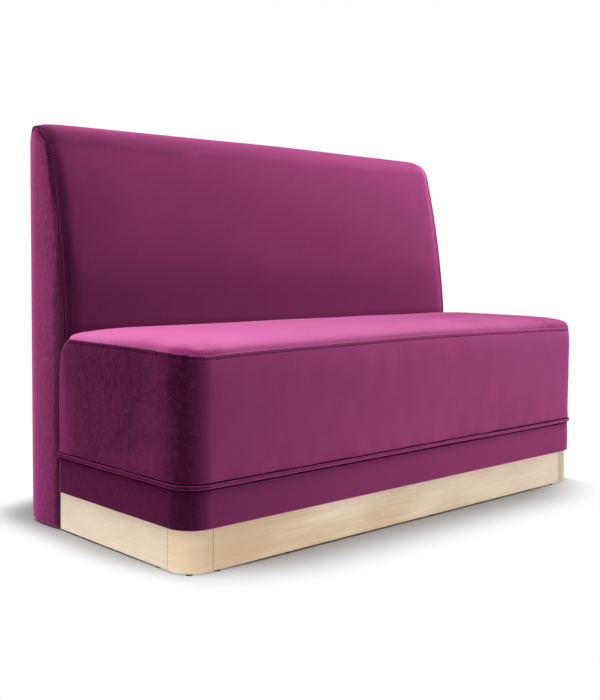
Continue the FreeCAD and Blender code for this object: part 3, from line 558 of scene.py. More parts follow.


# %% [markdown]
# The band under the welt is velvet over a thin pad, stapled to the box. Its section is nearly flat,
# with a rounded lower edge that turns in to the veneer. The welt above it is a cord in velvet, laid
# by hand, so its line wanders by a fraction of a millimetre. A narrow strip of the same velvet, in a
# darker copy that is painted shade for the gap, wraps each rear edge of the box, so that no wood shows
# between the seat and the back. The band's upper edge turns in under the welt in two steps, whose
# inset and depth below the top are in millimetres.

# %% Padded band and welt
band_low, band_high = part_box("fascia_band")
band_out = band_high.x - half
band_height = band_high.z - band_low.z
skin_gap = 0.3 * MM
band_edge = 1.5 * MM
band_belly = 0.9 * MM
band_not_full = 5.8 * MM
crease_out = 1 * MM
crease_drop = 1.8 * MM
crease_inner = 0.6 * MM
section = [(skin_gap, skin_gap)]
for i in range(7):
    a = math.pi / 2 * i / 6
    out = band_out - band_edge + band_edge * math.sin(a)
    section.append((out, skin_gap + band_edge * (1 - math.cos(a))))
for i in range(1, 10):
    t = i / 9
    out = band_out + band_belly * math.sin(math.pi * t)
    section.append((out, band_edge + (band_height - band_not_full) * t))
for inwards, below in ((0.3, 2.6), (1.4, 1.9)):
    section.append((band_out - inwards * MM, band_height - below * MM))
section += [(crease_out, band_height - crease_drop), (crease_inner, welt_level - band_low.z)]
rows = []
for outset, lift in section:
    row = []
    for (x, y), facing in round_front(0.0):
        near_end = abs(y - band_rear) < MM
        out = skin_gap if near_end else outset
        row.append((x + facing[0] * out, y + facing[1] * out, band_low.z + lift))
    rows.append(row)
band = grid_mesh("fascia_band_velvet", rows)

welt_radius = 4.3 * MM
welt_step = 6 * MM
welt_drop = 0.7 * MM
wander_rise = 0.9 * MM
flutter_rise = 0.25 * MM
flutter_out = 0.3 * MM
welt_outset = piping_high.x - half - welt_radius
path = []
for (x, y), facing in round_front(welt_outset, welt_step, band_rear - welt_radius):
    wander = noise.noise(Vector((x * 5, y * 5, 3.1)))
    flutter = noise.noise(Vector((x * 28, y * 28, 7.7)))
    path.append((
        x + facing[0] * flutter * flutter_out,
        y + facing[1] * flutter * flutter_out,
        welt_level - welt_drop + wander * wander_rise + flutter * flutter_rise,
    ))
welt = swept_cord("seat_welt_velvet", path, welt_radius, 16)

wrap_rise = 1 * MM
wrap_width = 30 * MM
wrap_belly = 1.2 * MM
wrap_past = 0.5 * MM
box_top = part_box("seat_rear_panel")[1].z + wrap_rise
box_wraps = []
for name, side in (("left", -1), ("right", 1)):
    rows = []
    for z in np.linspace(band_low.z + skin_gap, box_top, 40):
        row = []
        for share in np.linspace(0, 1, 12):
            out = skin_gap + wrap_belly * math.sqrt(math.sin(math.pi * share))
            row.append((side * (half + out), box_rear + wrap_past - wrap_width * (1 - share), z))
        rows.append(row if side > 0 else row[::-1])
    box_wraps.append(grid_mesh(f"box_wrap_velvet_{name}", rows))
print("band, welt of", len(path), "steps and", len(box_wraps), "strips")

# %% [markdown]
# The end of the back is a thin pad. The front cover turns round the corner on to it as a narrow strip,
# and the side seam lies behind that strip, so the mesh goes right to the corner and marks how far each
# point lies past the seam. It rounds into the rear along an upright edge. Its rows are level lines
# from the corner to the rear, and how far a point stands out depends on its distance from the edges.

# %% The padded ends of the back
heel = 12 * MM
rear_round = 3 * MM
side_swell = 6.5 * MM
side_roll = 22 * MM
seat_gap = 1 * MM
foot_tuck = 4 * MM
cord_reach = 3 * MM
rear_fade = 40 * MM
sharp_edge = 0.05 * MM
crest_gap = 0.02 * MM
even_rows_end = 840 * MM
seam_over_crest = 4 * MM
seam_up_front = 7 * MM
seam_on_shoulder = 60 * MM
seam_line = [(place[0], place[1]) for place, _, _ in profile]
crest_line = np.array([p for p in seam_line if p[1] > tuck_height])


def front_line_at(height):
    """Where the front corner stands at a height."""
    if height <= tuck_height:
        return box_rear + seat_gap
    if height >= front_centre[1] + front_crest * math.sin(shoulder_angle):
        return front_centre[0] - math.sqrt(max(front_crest ** 2 - (height - front_centre[1]) ** 2, 0))
    straight_part = seam_line[:TUCK_STEPS + BOW_STEPS + 1]
    return float(np.interp(height, [p[1] for p in straight_part], [p[0] for p in straight_part]))


def rear_line_at(height):
    if height > rear_centre[1]:
        return rear_centre[0] + math.sqrt(max(rear_crest ** 2 - (height - rear_centre[1]) ** 2, 0))
    if height < foot + heel:
        drop = foot + heel - height
        return rear_at(foot + heel) - heel + math.sqrt(max(heel ** 2 - drop ** 2, 0))
    return rear_at(height)


def seam_behind(facing):
    """How far the side seam runs behind the corner: least over the crest, most on the shoulder."""
    ahead = max(-facing[0], 0.0)
    return seam_over_crest + seam_up_front * ahead + seam_on_shoulder * ahead * (1 - ahead)


over_seat = [part for part in profile if part[0][1] > tuck_height]
seam_tucks = np.array([seam_tuck(way_up) for _, _, way_up in over_seat])
seam_offsets = np.array([seam_behind(facing) for _, facing, _ in over_seat])
low_seam_offset = 10 * MM


def nearest_on_corner(y, z):
    """The nearest place of the corner line, by its number, and how far off it is."""
    off = np.hypot(crest_line[:, 0] - y, crest_line[:, 1] - z)
    nearest = int(np.argmin(off))
    return nearest, float(off[nearest])


def past_seam(y, z):
    """How far a point of the end lies past the side seam; on the turned strip it is below 0."""
    if z <= tuck_height:
        return y - front_line_at(z) - low_seam_offset
    nearest, off = nearest_on_corner(y, z)
    return off - seam_offsets[nearest]


def corner_round(height):
    """The radius of the rear's upright edge, which ends where the crest begins."""
    return rear_round if height <= rear_centre[1] + 0.1 * MM else sharp_edge


def back_end(name, side):
    heights = [foot + lift * MM for lift in (0.2, 1.2, 4, 8)]
    heights += list(np.linspace(foot + heel, even_rows_end, 74))
    last = back_seam_height - crest_gap - even_rows_end
    heights += [even_rows_end + last * math.sin(math.pi / 2 * i / 22) for i in range(1, 23)]
    shares = [0.5 - 0.5 * math.cos(math.pi * i / 26) for i in range(27)]
    rows = []
    for z in heights:
        low_y, high_y = front_line_at(z), rear_line_at(z)
        bend = corner_round(z)
        row = []
        for share in shares:
            y = low_y + (high_y - low_y) * share
            to_seam = y - low_y
            tuck = 0.0
            if z > tuck_height:
                nearest, to_seam = nearest_on_corner(y, z)
                tuck = seam_tucks[nearest] * math.exp(-to_seam / cord_reach)
            to_rear = high_y - y
            rear_share = (1 - min(to_rear / rear_fade, 1)) ** 2
            x = half + side_swell * (1 - math.exp(-to_seam / side_roll)) * (1 - rear_share)
            if to_rear < bend:
                tuck = max(tuck, bend - math.sqrt(max(bend ** 2 - (bend - to_rear) ** 2, 0)))
            x -= tuck
            x -= foot_tuck * max(0.0, 1 - (z - foot) / foot_tuck) ** 2
            row.append((side * x, y, z))
        rows.append(row if side > 0 else row[::-1])
    piece = grid_mesh(name, rows)
    past = [past_seam(v.co.y, v.co.z) / MM for v in piece.data.vertices]
    mark = piece.data.attributes.new("past_seam", "FLOAT", "POINT")
    mark.data.foreach_set("value", np.array(past, np.float32))
    return piece


left_end = back_end("back_end_velvet_left", -1)
right_end = back_end("back_end_velvet_right", 1)
print("ends of the back", len(left_end.data.vertices), "points each")

# %% [markdown]
# The rear is one flat sheet pulled tight over hardboard and turned under the heel. Against a wall it
# is never seen, so it has only the slight ripples of a hand-stapled cover.

# %% The rear of the back
turned_under = 20 * MM
turned_lift = 0.4 * MM
rear_overlap = 0.2 * MM
rear_sunk = 0.4 * MM
ripple_depth = 0.8 * MM
rows = []
rear_rows = [(rear_at(z), z) for z in np.linspace(rear_centre[1], foot + heel, 60)]
for i in range(1, 9):
    a = math.pi / 2 * i / 8
    rear_rows.append((rear_at(foot) - heel + heel * math.cos(a), foot + heel - heel * math.sin(a)))
rear_rows.append((rear_at(foot) - heel - turned_under, foot + turned_lift))
for y, z in rear_rows:
    reach = half - corner_round(max(z, foot + heel)) + rear_overlap
    row = []
    for share in np.linspace(-1, 1, 90):
        x = share * reach
        ripple = noise.noise(Vector((x * 4, z * 5, 1.7))) * ripple_depth * (1 - abs(share) ** 6)
        row.append((x, y + ripple - rear_sunk, z))
    rows.append(row)
rear_sheet = grid_mesh("back_rear_velvet", rows)
print("rear sheet", len(rows), "rows")

# %% [markdown]
# Cloth that is pulled over foam keeps faint hollows, and it puckers just above the welt where the
# border was drawn down. Low noise moves the points along their normals. The amounts stay within two
# and a half millimetres, and fade out at the pinned seams.

# %% Hollows and puckers
quiet_under_seam = 15 * MM
quiet_over_seam = 8 * MM
pucker_height = 40 * MM
front_pucker = 0.7 * MM
rear_pucker = 1.3 * MM
border_hollow = 0.5 * MM
top_hollow = 1.6 * MM
back_hollow = 1.5 * MM
back_fade = 60 * MM


def dent(piece, amount_at, scale, seed):
    """Moves points along their normals by smooth noise, times an amount that depends on the place."""
    places = points_of(piece.data)
    normals = points_of(piece.data, "normal")
    for i in range(len(places)):
        amount = amount_at(places[i])
        if amount:
            at = Vector(places[i] * scale) + Vector((seed, 0, 0))
            places[i] += normals[i] * amount * noise.noise(at)
    set_points(piece.data, places)


def border_amount(place):
    """Strongest just over the welt, none at the seam."""
    if place[2] > seam_height - quiet_under_seam:
        return 0.0
    over_welt = (place[2] - border_foot) / pucker_height
    rear_side = min(max((place[1] + 0.05) / 0.1, 0.0), 1.0)
    return (front_pucker + rear_pucker * rear_side) * math.exp(-over_welt ** 2) + border_hollow


def top_amount(place):
    if place[2] < seam_height + quiet_over_seam:
        return 0.0
    return top_hollow


def sheet_amount(place):
    return back_hollow * min((half - abs(place[0])) / back_fade, 1.0)


dent(seat, border_amount, 22, 11.0)
dent(seat, top_amount, 5, 21.0)
dent(back_sheet, sheet_amount, 4, 31.0)
print("hollows and puckers pressed in")

# %% [markdown]
# On this booth the top seam isn't level. It dips at the front corners, where the cover was pulled
# down hardest, and it rises along the sides and in the middle of the front. The same warp moves the
# cushion and, later, the raised edge of the seam and its stitches, so that they stay together. It fades
# slowly above the seam, so the top follows it by about two thirds.

# %% The seam's dip at the front corners
side_strip = 40 * MM
side_rise = 5.5 * MM
middle_rise = 5.5 * MM
middle_place = 60 * MM
middle_reach = 360 * MM
middle_depth = 200 * MM
left_fall = 7.0 * MM
right_fall = 2.5 * MM
fall_reach = 90 * MM
seam_drop = 0.5 * MM
warp_reach = welt_level - band_low.z


def seam_dip(x, y):
    """How far the seam lies over its usual height at a place."""
    left = math.hypot(x + half, y - front)
    right = math.hypot(x - half, y - front)
    on_side = min(max((abs(x) - half + side_strip) / side_strip, 0.0), 1.0)
    fall = left_fall * math.exp(-left / fall_reach) + right_fall * math.exp(-right / fall_reach)
    near_front = min(max(1 - (y - front) / middle_depth, 0.0), 1.0)
    bow = middle_rise * math.exp(-((x - middle_place) / middle_reach) ** 2) * near_front
    return side_rise * on_side - seam_drop + bow - fall


def warped(x, y, z):
    """Moves a point up or down with the seam; the foot by the welt stays, and the top follows in part."""
    if z < seam_height:
        share = max((z - border_foot) / (seam_height - border_foot), 0.0) ** 3
    else:
        share = max(1 - (z - seam_height) / warp_reach, 0.0)
    return x, y, z + seam_dip(x, y) * share


set_points(seat.data, np.array([warped(*p) for p in points_of(seat.data)]))
print("seam dips by", round(-seam_dip(-half, front) / MM, 1), "mm at the left front corner")

# %% [markdown]
# A raised edge runs along each seam, where the folded allowances lie under the cover. It is a thin
# cord, half sunk in the cloth. The seat's seam has a row of stitches close under it. The back has two
# cords on each side: one at the corner, where the front cover folds round, and the side seam behind it,
# which takes the pad's swelling into account so that it lies on the end.

# %% Raised edges of the seams, and the folds at the corners
seam_cord = 1.7 * MM
fold_cord = 1.5 * MM
seat_cord = 1.3 * MM
stitch_drop = 6.5 * MM
stitch_inset = 0.2 * MM
rear_seam_end = 7 * MM
rear_seam_sunk = 0.6 * MM
stitch_share = 1 - stitch_drop / (seam_height - border_foot)
seam_path = [warped(*p) for p in border_ring(1.0)]
seat_seam = swept_cord("seat_seam_edge", seam_path, seat_cord, 8, closed=True)
stitch_path = [warped(*p) for p in border_ring(stitch_share, stitch_inset)]
back_seams = []
back_folds = []
for name, side in (("left", -1), ("right", 1)):
    path = []
    for place, facing, way_up in profile:
        sunk = seam_tuck(way_up)
        path.append((side * (half - sunk), place[0] - facing[0] * sunk, place[1] - facing[1] * sunk))
    back_folds.append(swept_cord(f"back_fold_{name}", path, fold_cord, 8))
    path = []
    for place, facing, way_up in profile:
        behind = seam_behind(facing)
        out = side_swell * (1 - math.exp(-behind / side_roll)) - seam_tuck(way_up)
        path.append((side * (half + out), place[0] - facing[0] * behind, place[1] - facing[1] * behind))
    back_seams.append(swept_cord(f"back_seam_edge_{name}", path, seam_cord, 8))
rear_seam_y = rear_at(rear_centre[1]) - rear_seam_sunk
rear_seam_path = []
for share in np.linspace(-1, 1, 60):
    rear_seam_path.append((share * (half - rear_seam_end), rear_seam_y, rear_centre[1]))
back_seams.append(swept_cord("back_rear_seam_edge", rear_seam_path, seam_cord, 8))
print("seam edges", len(back_seams) + 1, "and folds", len(back_folds))

# %% [markdown]
# The solver's grid is too coarse for a fine seam, so both sheets are subdivided once after it. Then a
# shallow groove is pressed in along the stitches of the seat, where the thread pulls the cover down.

# %% Finer cloth, and the groove under the stitches
groove_width = 1.5 * MM
groove_depth = 0.7 * MM


def finer(piece):
    """Subdivides a mesh once and keeps the result as plain points."""
    subdivision = piece.modifiers.new("finer", "SUBSURF")
    subdivision.levels = 1
    subdivision.render_levels = 1
    subdivision.boundary_smooth = "PRESERVE_CORNERS"
    graph = bpy.context.evaluated_depsgraph_get()
    fine = bpy.data.meshes.new_from_object(piece.evaluated_get(graph))
    fine.name = piece.name
    piece.modifiers.remove(subdivision)
    piece.data = fine
    return piece


def press_groove(piece, level_at, width, depth):
    """Pushes points inwards near a level that may vary round the piece."""
    mesh = piece.data
    for vertex in mesh.vertices:
        off = (vertex.co.z - level_at(vertex.co.x, vertex.co.y)) / width
        if abs(off) < 3:
            vertex.co -= vertex.normal * depth * math.exp(-off * off)


def stitch_level(x, y):
    return seam_height - stitch_drop + seam_dip(x, y) * stitch_share ** 3


finer(seat)
finer(back_sheet)
press_groove(seat, stitch_level, groove_width, groove_depth)
print("seat has", len(seat.data.vertices), "points, the back", len(back_sheet.data.vertices))

# %% [markdown]
# Stitches repeat along a path, so Geometry Nodes lay them: the path is cut at the stitch pitch, and on
# each point sits one short thread, turned to the direction that the path carries in an attribute.
# A second attribute scales each thread, so that the cross stitches of the back can fade into dots.

# %% A tree of nodes for stitches


def add(tree, kind, settings, values):
    """One node with its settings first, then the values or links of its sockets."""
    node = tree.nodes.new(kind)
    for key, value in settings.items():
        setattr(node, key, value)
    for key, value in values.items():
        if isinstance(value, bpy.types.NodeSocket):
            tree.links.new(value, node.inputs[key])
        else:
            node.inputs[key].default_value = value
    return node


def stitch_tree():
    tree = bpy.data.node_groups.new("stitches_on_a_seam", "GeometryNodeTree")
    face = tree.interface
    face.new_socket("Path", in_out="INPUT", socket_type="NodeSocketGeometry")
    for name in ("Pitch", "Length", "Thickness"):
        face.new_socket(name, in_out="INPUT", socket_type="NodeSocketFloat")
    face.new_socket("Thread", in_out="INPUT", socket_type="NodeSocketMaterial")
    face.new_socket("Stitches", in_out="OUTPUT", socket_type="NodeSocketGeometry")
    given = tree.nodes.new("NodeGroupInput").outputs
    curve = add(tree, "GeometryNodeMeshToCurve", {}, {"Mesh": given["Path"]})
    cut = add(tree, "GeometryNodeResampleCurve", {"mode": "LENGTH"},
              {"Curve": curve.outputs[0], "Length": given["Pitch"]})
    lay = add(tree, "GeometryNodeInputNamedAttribute", {"data_type": "FLOAT_VECTOR"}, {"Name": "lay"})
    grow = add(tree, "GeometryNodeInputNamedAttribute", {"data_type": "FLOAT"}, {"Name": "grow"})
    turn = add(tree, "FunctionNodeAlignRotationToVector", {"axis": "X"}, {"Vector": lay.outputs[0]})
    longer = add(tree, "ShaderNodeMath", {"operation": "MULTIPLY"},
                 {0: given["Length"], 1: grow.outputs[0]})
    shape = add(tree, "ShaderNodeCombineXYZ", {},
                {"X": longer.outputs[0], "Y": given["Thickness"], "Z": given["Thickness"]})
    bead = add(tree, "GeometryNodeMeshUVSphere", {}, {"Segments": 6, "Rings": 5, "Radius": 0.5})
    laid = add(tree, "GeometryNodeInstanceOnPoints", {}, {
        "Points": cut.outputs[0], "Instance": bead.outputs[0],
        "Rotation": turn.outputs[0], "Scale": shape.outputs[0],
    })
    real = add(tree, "GeometryNodeRealizeInstances", {}, {"Geometry": laid.outputs[0]})
    smooth = add(tree, "GeometryNodeSetShadeSmooth", {}, {"Geometry": real.outputs[0]})
    coated = add(tree, "GeometryNodeSetMaterial", {},
                 {"Geometry": smooth.outputs[0], "Material": given["Thread"]})
    end = tree.nodes.new("NodeGroupOutput")
    tree.links.new(coated.outputs[0], end.inputs[0])
    return tree


stitching = stitch_tree()
thread = bpy.data.materials.new("thread")


def stitched(name, path, lays, grows, pitch, length, thickness):
    """Stitches along a path; each point has a direction and a growth."""
    mesh = bpy.data.meshes.new(name + "_path")
    mesh.from_pydata([tuple(p) for p in path], [(i, i + 1) for i in range(len(path) - 1)], [])
    lay = mesh.attributes.new("lay", "FLOAT_VECTOR", "POINT")
    lay.data.foreach_set("vector", np.array(lays, np.float32).ravel())
    grow = mesh.attributes.new("grow", "FLOAT", "POINT")
    grow.data.foreach_set("value", np.array(grows, np.float32))
    piece = new_object(name, mesh)
    modifier = piece.modifiers.new("stitches", "NODES")
    modifier.node_group = stitching
    given = {"Pitch": pitch, "Length": length, "Thickness": thickness, "Thread": thread}
    for item in stitching.interface.items_tree:
        if item.name in given:
            modifier[item.identifier] = given[item.name]
    graph = bpy.context.evaluated_depsgraph_get()
    done = bpy.data.meshes.new_from_object(piece.evaluated_get(graph))
    done.name = name
    piece.modifiers.remove(modifier)
    piece.data = done
    print(name, len(done.polygons), "faces")
    return piece


# %% [markdown]
# The seat's stitches lie along their row. The back's lie on the strip that turns round the corner:
# across it at the top, where the full cover was eased in, and as small dots lower down. Each path starts
# from the same helpers as the cloth under it and is then settled on the finished cloth.

# %% Rows of stitches
stitch_pitch = 7 * MM
seat_stitch_length = 4.2 * MM
seat_stitch_thickness = 2.5 * MM
seat_stitch_lift = 0.1 * MM
back_stitch_length = 12 * MM
back_stitch_thickness = 2.4 * MM
back_stitch_lift = 0.2 * MM
dots_behind = 5 * MM
dots_below = 670 * MM
threads_above = 800 * MM


def settled(piece, path, lift):
    """Each point of a path moved to the nearest place on a cloth, and lifted off it a little."""
    mesh = piece.data
    tree = BVHTree.FromPolygons([v.co[:] for v in mesh.vertices], [f.vertices[:] for f in mesh.polygons])
    out = []
    for point in path:
        place, facing, _, _ = tree.find_nearest(Vector(point))
        out.append(place + facing * lift)
    return out


rear_part = seat_width // 8
ring_path = settled(seat, stitch_path[rear_part:seat_width - rear_part], seat_stitch_lift)
ahead = np.gradient(np.array(ring_path), axis=0)
seat_stitches = stitched(
    "seat_stitches", ring_path, ahead, [1.0] * len(ring_path),
    stitch_pitch, seat_stitch_length, seat_stitch_thickness)
back_stitches = []
for name, side, end in (("left", -1, left_end), ("right", 1, right_end)):
    grows = []
    lays = []
    path = []
    for place, facing, _ in profile[8:-16]:
        high = soft_step(place[1], dots_below, threads_above)
        offset = seam_behind(facing) * 0.5 * high + dots_behind * (1 - high)
        path.append((side * half, place[0] - facing[0] * offset, place[1] - facing[1] * offset))
        grows.append(0.25 + 0.75 * high)
        lays.append((side * -0.2, facing[0], facing[1]))
    path = settled(end, path, back_stitch_lift)
    back_stitches.append(stitched(
        f"back_stitches_{name}", path, lays, grows,
        stitch_pitch, back_stitch_length, back_stitch_thickness))

# %% [markdown]
# Some cloth is never seen from the front: the black lining over the webbing, the dust cloth under the
# plinth, and the webbing itself. They are thin flat sheets and straps, so they are made directly. The
# straps go over and under each other as the CAD ones do.

# %% Lining, dust cloth and webbing
lining_low, lining_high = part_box("seat_lining")
dust_low, dust_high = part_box("plinth_dust_cloth")
dust_corner = 32 * MM
dust_sag = 1.5 * MM


def stretched_cloth(name, low, high, z, front_radius, sag):
    """A flat stretched sheet with rounded front corners; it sags slightly in its middle."""
    rows = []
    straight = high.y - low.y - front_radius
    for t in [0, 0.05, 0.15, 0.35, 0.6, 0.8, 1] + list(np.linspace(1.2, 12, 30)):
        inwards = 0.0
        if t < 1:
            inwards = front_radius * (1 - math.sqrt(max(1 - (1 - t) ** 2, 0)))
        y = low.y + front_radius * min(t, 1) + straight * max(t - 1, 0) / 11
        row = []
        for share in np.linspace(-1, 1, 60):
            x = share * (high.x - inwards)
            depth = (1 - share ** 2) * math.sin(math.pi * (y - low.y) / (high.y - low.y))
            row.append((x, y, z - sag * depth))
        rows.append(row)
    return grid_mesh(name, rows)


lining = stretched_cloth("seat_lining_cloth", lining_low, lining_high, lining_high.z, CORNER, 0)
dust_cloth = stretched_cloth(
    "plinth_dust_sheet", dust_low, dust_high, dust_high.z, dust_corner, dust_sag)


def joined(name, pieces):
    """One mesh made of several finished ones."""
    work = bmesh.new()
    for piece in pieces:
        work.from_mesh(piece.data)
        bpy.data.objects.remove(piece)
    mesh = bpy.data.meshes.new(name)
    work.to_mesh(mesh)
    work.free()
    return new_object(name, mesh)


cross_low, cross_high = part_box("webbing_cross_straps")
long_low, long_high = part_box("webbing_long_straps")
strap_width = 60 * MM
strap_thickness = 2 * MM
crossing_margin = 2 * MM
cross_count, long_count = 12, 4
cross_places = [-half + 2 * half * (i + 1) / (cross_count + 1) for i in range(cross_count)]
strap_depth = box_rear - front
long_places = [front + strap_depth * (j + 1) / (long_count + 1) for j in range(long_count)]


def strap_path(start, end, crossings, first_over):
    """Distances and heights of a strap that goes over and under the others."""
    line = []
    swing = strap_thickness / 2
    middle = (cross_low.z + cross_high.z) / 2
    for place in np.linspace(start, end, 20 * (len(crossings) + 1)):
        near = int(np.argmin([abs(place - c) for c in crossings]))
        over = 1 if (near % 2 == 0) == first_over else -1
        off = abs(place - crossings[near]) / (strap_width / 2 + crossing_margin)
        reach = min(max(1.6 - off, 0.0), 0.6) / 0.6
        line.append((place, middle + swing * over * reach))
    return line


def flat_strap(name, points):
    path = np.array(points)
    way = path[1] - path[0]
    side = Vector(way).cross(Vector((0, 0, 1))).normalized()
    side = np.array(side)
    w, t = strap_width / 2, strap_thickness / 2
    section = ((-w, 0), (-w + t, t), (w - t, t), (w, 0), (w - t, -t), (-w + t, -t))
    rows = []
    for p in path:
        rows.append([p + side * a + np.array((0, 0, b * 0.98)) for a, b in section])
    piece = grid_mesh(name, rows, ring=True)
    close_holes(piece, 8)
    piece.data.shade_flat()
    return piece


straps = []
for i, x in enumerate(cross_places):
    line = strap_path(cross_low.y, cross_high.y, long_places, i % 2 == 0)
    straps.append(flat_strap(f"cross_{i}", [(x, y, z) for y, z in line]))
cross_straps = joined("webbing_cross_weave", straps)
straps = []
for j, y in enumerate(long_places):
    line = strap_path(long_low.x, long_high.x, cross_places, j % 2 == 1)
    straps.append(flat_strap(f"long_{j}", [(x, y, z) for x, z in line]))
long_straps = joined("webbing_long_weave", straps)
print("lining, dust cloth and", cross_count + long_count, "straps")

# %% [markdown]
# Materials are written as arithmetic. A small class wraps a value in a material, and the usual signs
# add Math nodes. A recipe holds one material and makes every other kind of node.

# %% Arithmetic for materials
fine_relief = 0.1 * MM
coarse_relief = 0.3 * MM
nap_relief = 1.2 * MM


class Flow:
    """A value that runs through a material; plus, minus and times add nodes."""

    def __init__(self, recipe, socket):
        self.recipe = recipe
        self.socket = socket

    def __add__(self, other):
        return self.recipe.maths("ADD", self, other)

    def __radd__(self, other):
        return self.recipe.maths("ADD", other, self)

    def __sub__(self, other):
        return self.recipe.maths("SUBTRACT", self, other)

    def __rsub__(self, other):
        return self.recipe.maths("SUBTRACT", other, self)

    def __mul__(self, other):
        return self.recipe.maths("MULTIPLY", self, other)

    def __rmul__(self, other):
        return self.recipe.maths("MULTIPLY", other, self)

    def clear(self):
        """Kept between 0 and 1."""
        return self.recipe.node("ShaderNodeClamp", {}, {"Value": self})

    def smoothly(self, low, high):
        """From 0 at low to 1 at high, with soft ends."""
        return self.recipe.node(
            "ShaderNodeMapRange", {"interpolation_type": "SMOOTHSTEP"},
            {"Value": self, "From Min": low, "From Max": high})


class Recipe:
    """One material and the nodes that make it."""

    def __init__(self, name):
        self.material = bpy.data.materials.get(name) or bpy.data.materials.new(name)
        self.material.use_nodes = True
        self.tree = self.material.node_tree
        self.tree.nodes.clear()

    def node(self, kind, settings, values, output=0):
        node = self.tree.nodes.new(kind)
        for key, value in settings.items():
            setattr(node, key, value)
        for key, value in values.items():
            if isinstance(value, Flow):
                self.tree.links.new(value.socket, node.inputs[key])
            else:
                node.inputs[key].default_value = value
        return Flow(self, node.outputs[output])

    def maths(self, operation, first, second):
        return self.node("ShaderNodeMath", {"operation": operation}, {0: first, 1: second})

    def place(self, stretch=(1, 1, 1)):
        """Object coordinates, in metres, stretched for a grain."""
        at = self.node("ShaderNodeTexCoord", {}, {}, "Object")
        return self.node("ShaderNodeMapping", {}, {"Vector": at, "Scale": stretch})

    def mottle(self, scale, detail=3, stretch=(1, 1, 1), rough=0.5):
        return self.node(
            "ShaderNodeTexNoise", {},
            {"Vector": self.place(stretch), "Scale": scale, "Detail": detail, "Roughness": rough})

    def vector(self, operation, first, second=(0, 0, 0), third=(0, 0, 0), output=0):
        return self.node(
            "ShaderNodeVectorMath", {"operation": operation}, {0: first, 1: second, 2: third}, output)

    def axis(self, place, number):
        """One of the three parts of a place."""
        return self.node("ShaderNodeSeparateXYZ", {}, {0: place}, number)

    def mix(self, share, first, second):
        return self.node(
            "ShaderNodeMix", {"data_type": "RGBA"}, {0: share, 6: first, 7: second}, 2)

    def bump(self, height, distance, strength=1.0):
        return self.node(
            "ShaderNodeBump", {}, {"Height": height, "Distance": distance, "Strength": strength})

    def finish(self, **sockets):
        """Sets the surface; a socket is named by its words joined with an underscore."""
        values = {key.replace("_", " "): value for key, value in sockets.items()}
        shader = self.node("ShaderNodeBsdfPrincipled", {}, values)
        end = self.tree.nodes.new("ShaderNodeOutputMaterial")
        self.tree.links.new(shader.socket, end.inputs["Surface"])
        return self.material


def colour(red, green, blue):
    """An sRGB colour in 255ths as the linear values that Blender's sockets take."""
    out = []
    for part in (red, green, blue):
        c = part / 255
        out.append(c / 12.92 if c < 0.04045 else ((c + 0.055) / 1.055) ** 2.4)
    return (*out, 1.0)


print("material helpers ready")

# %% [markdown]
# Velvet is a short dense pile. Looked at from the tips of the fibres it is nearly black plum; seen at
# a slant, their sides catch the light and it turns bright pink. The Sheen of the Principled shader
# gives most of that, and Layer Weight adds to it in the base colour. The pile of each panel leans one
# way, so two faces at the same slant differ: the shading normal is tilted along the lean, before the
# bump of the clouds, the upright streaks and the fine grain.

# %% Velvet


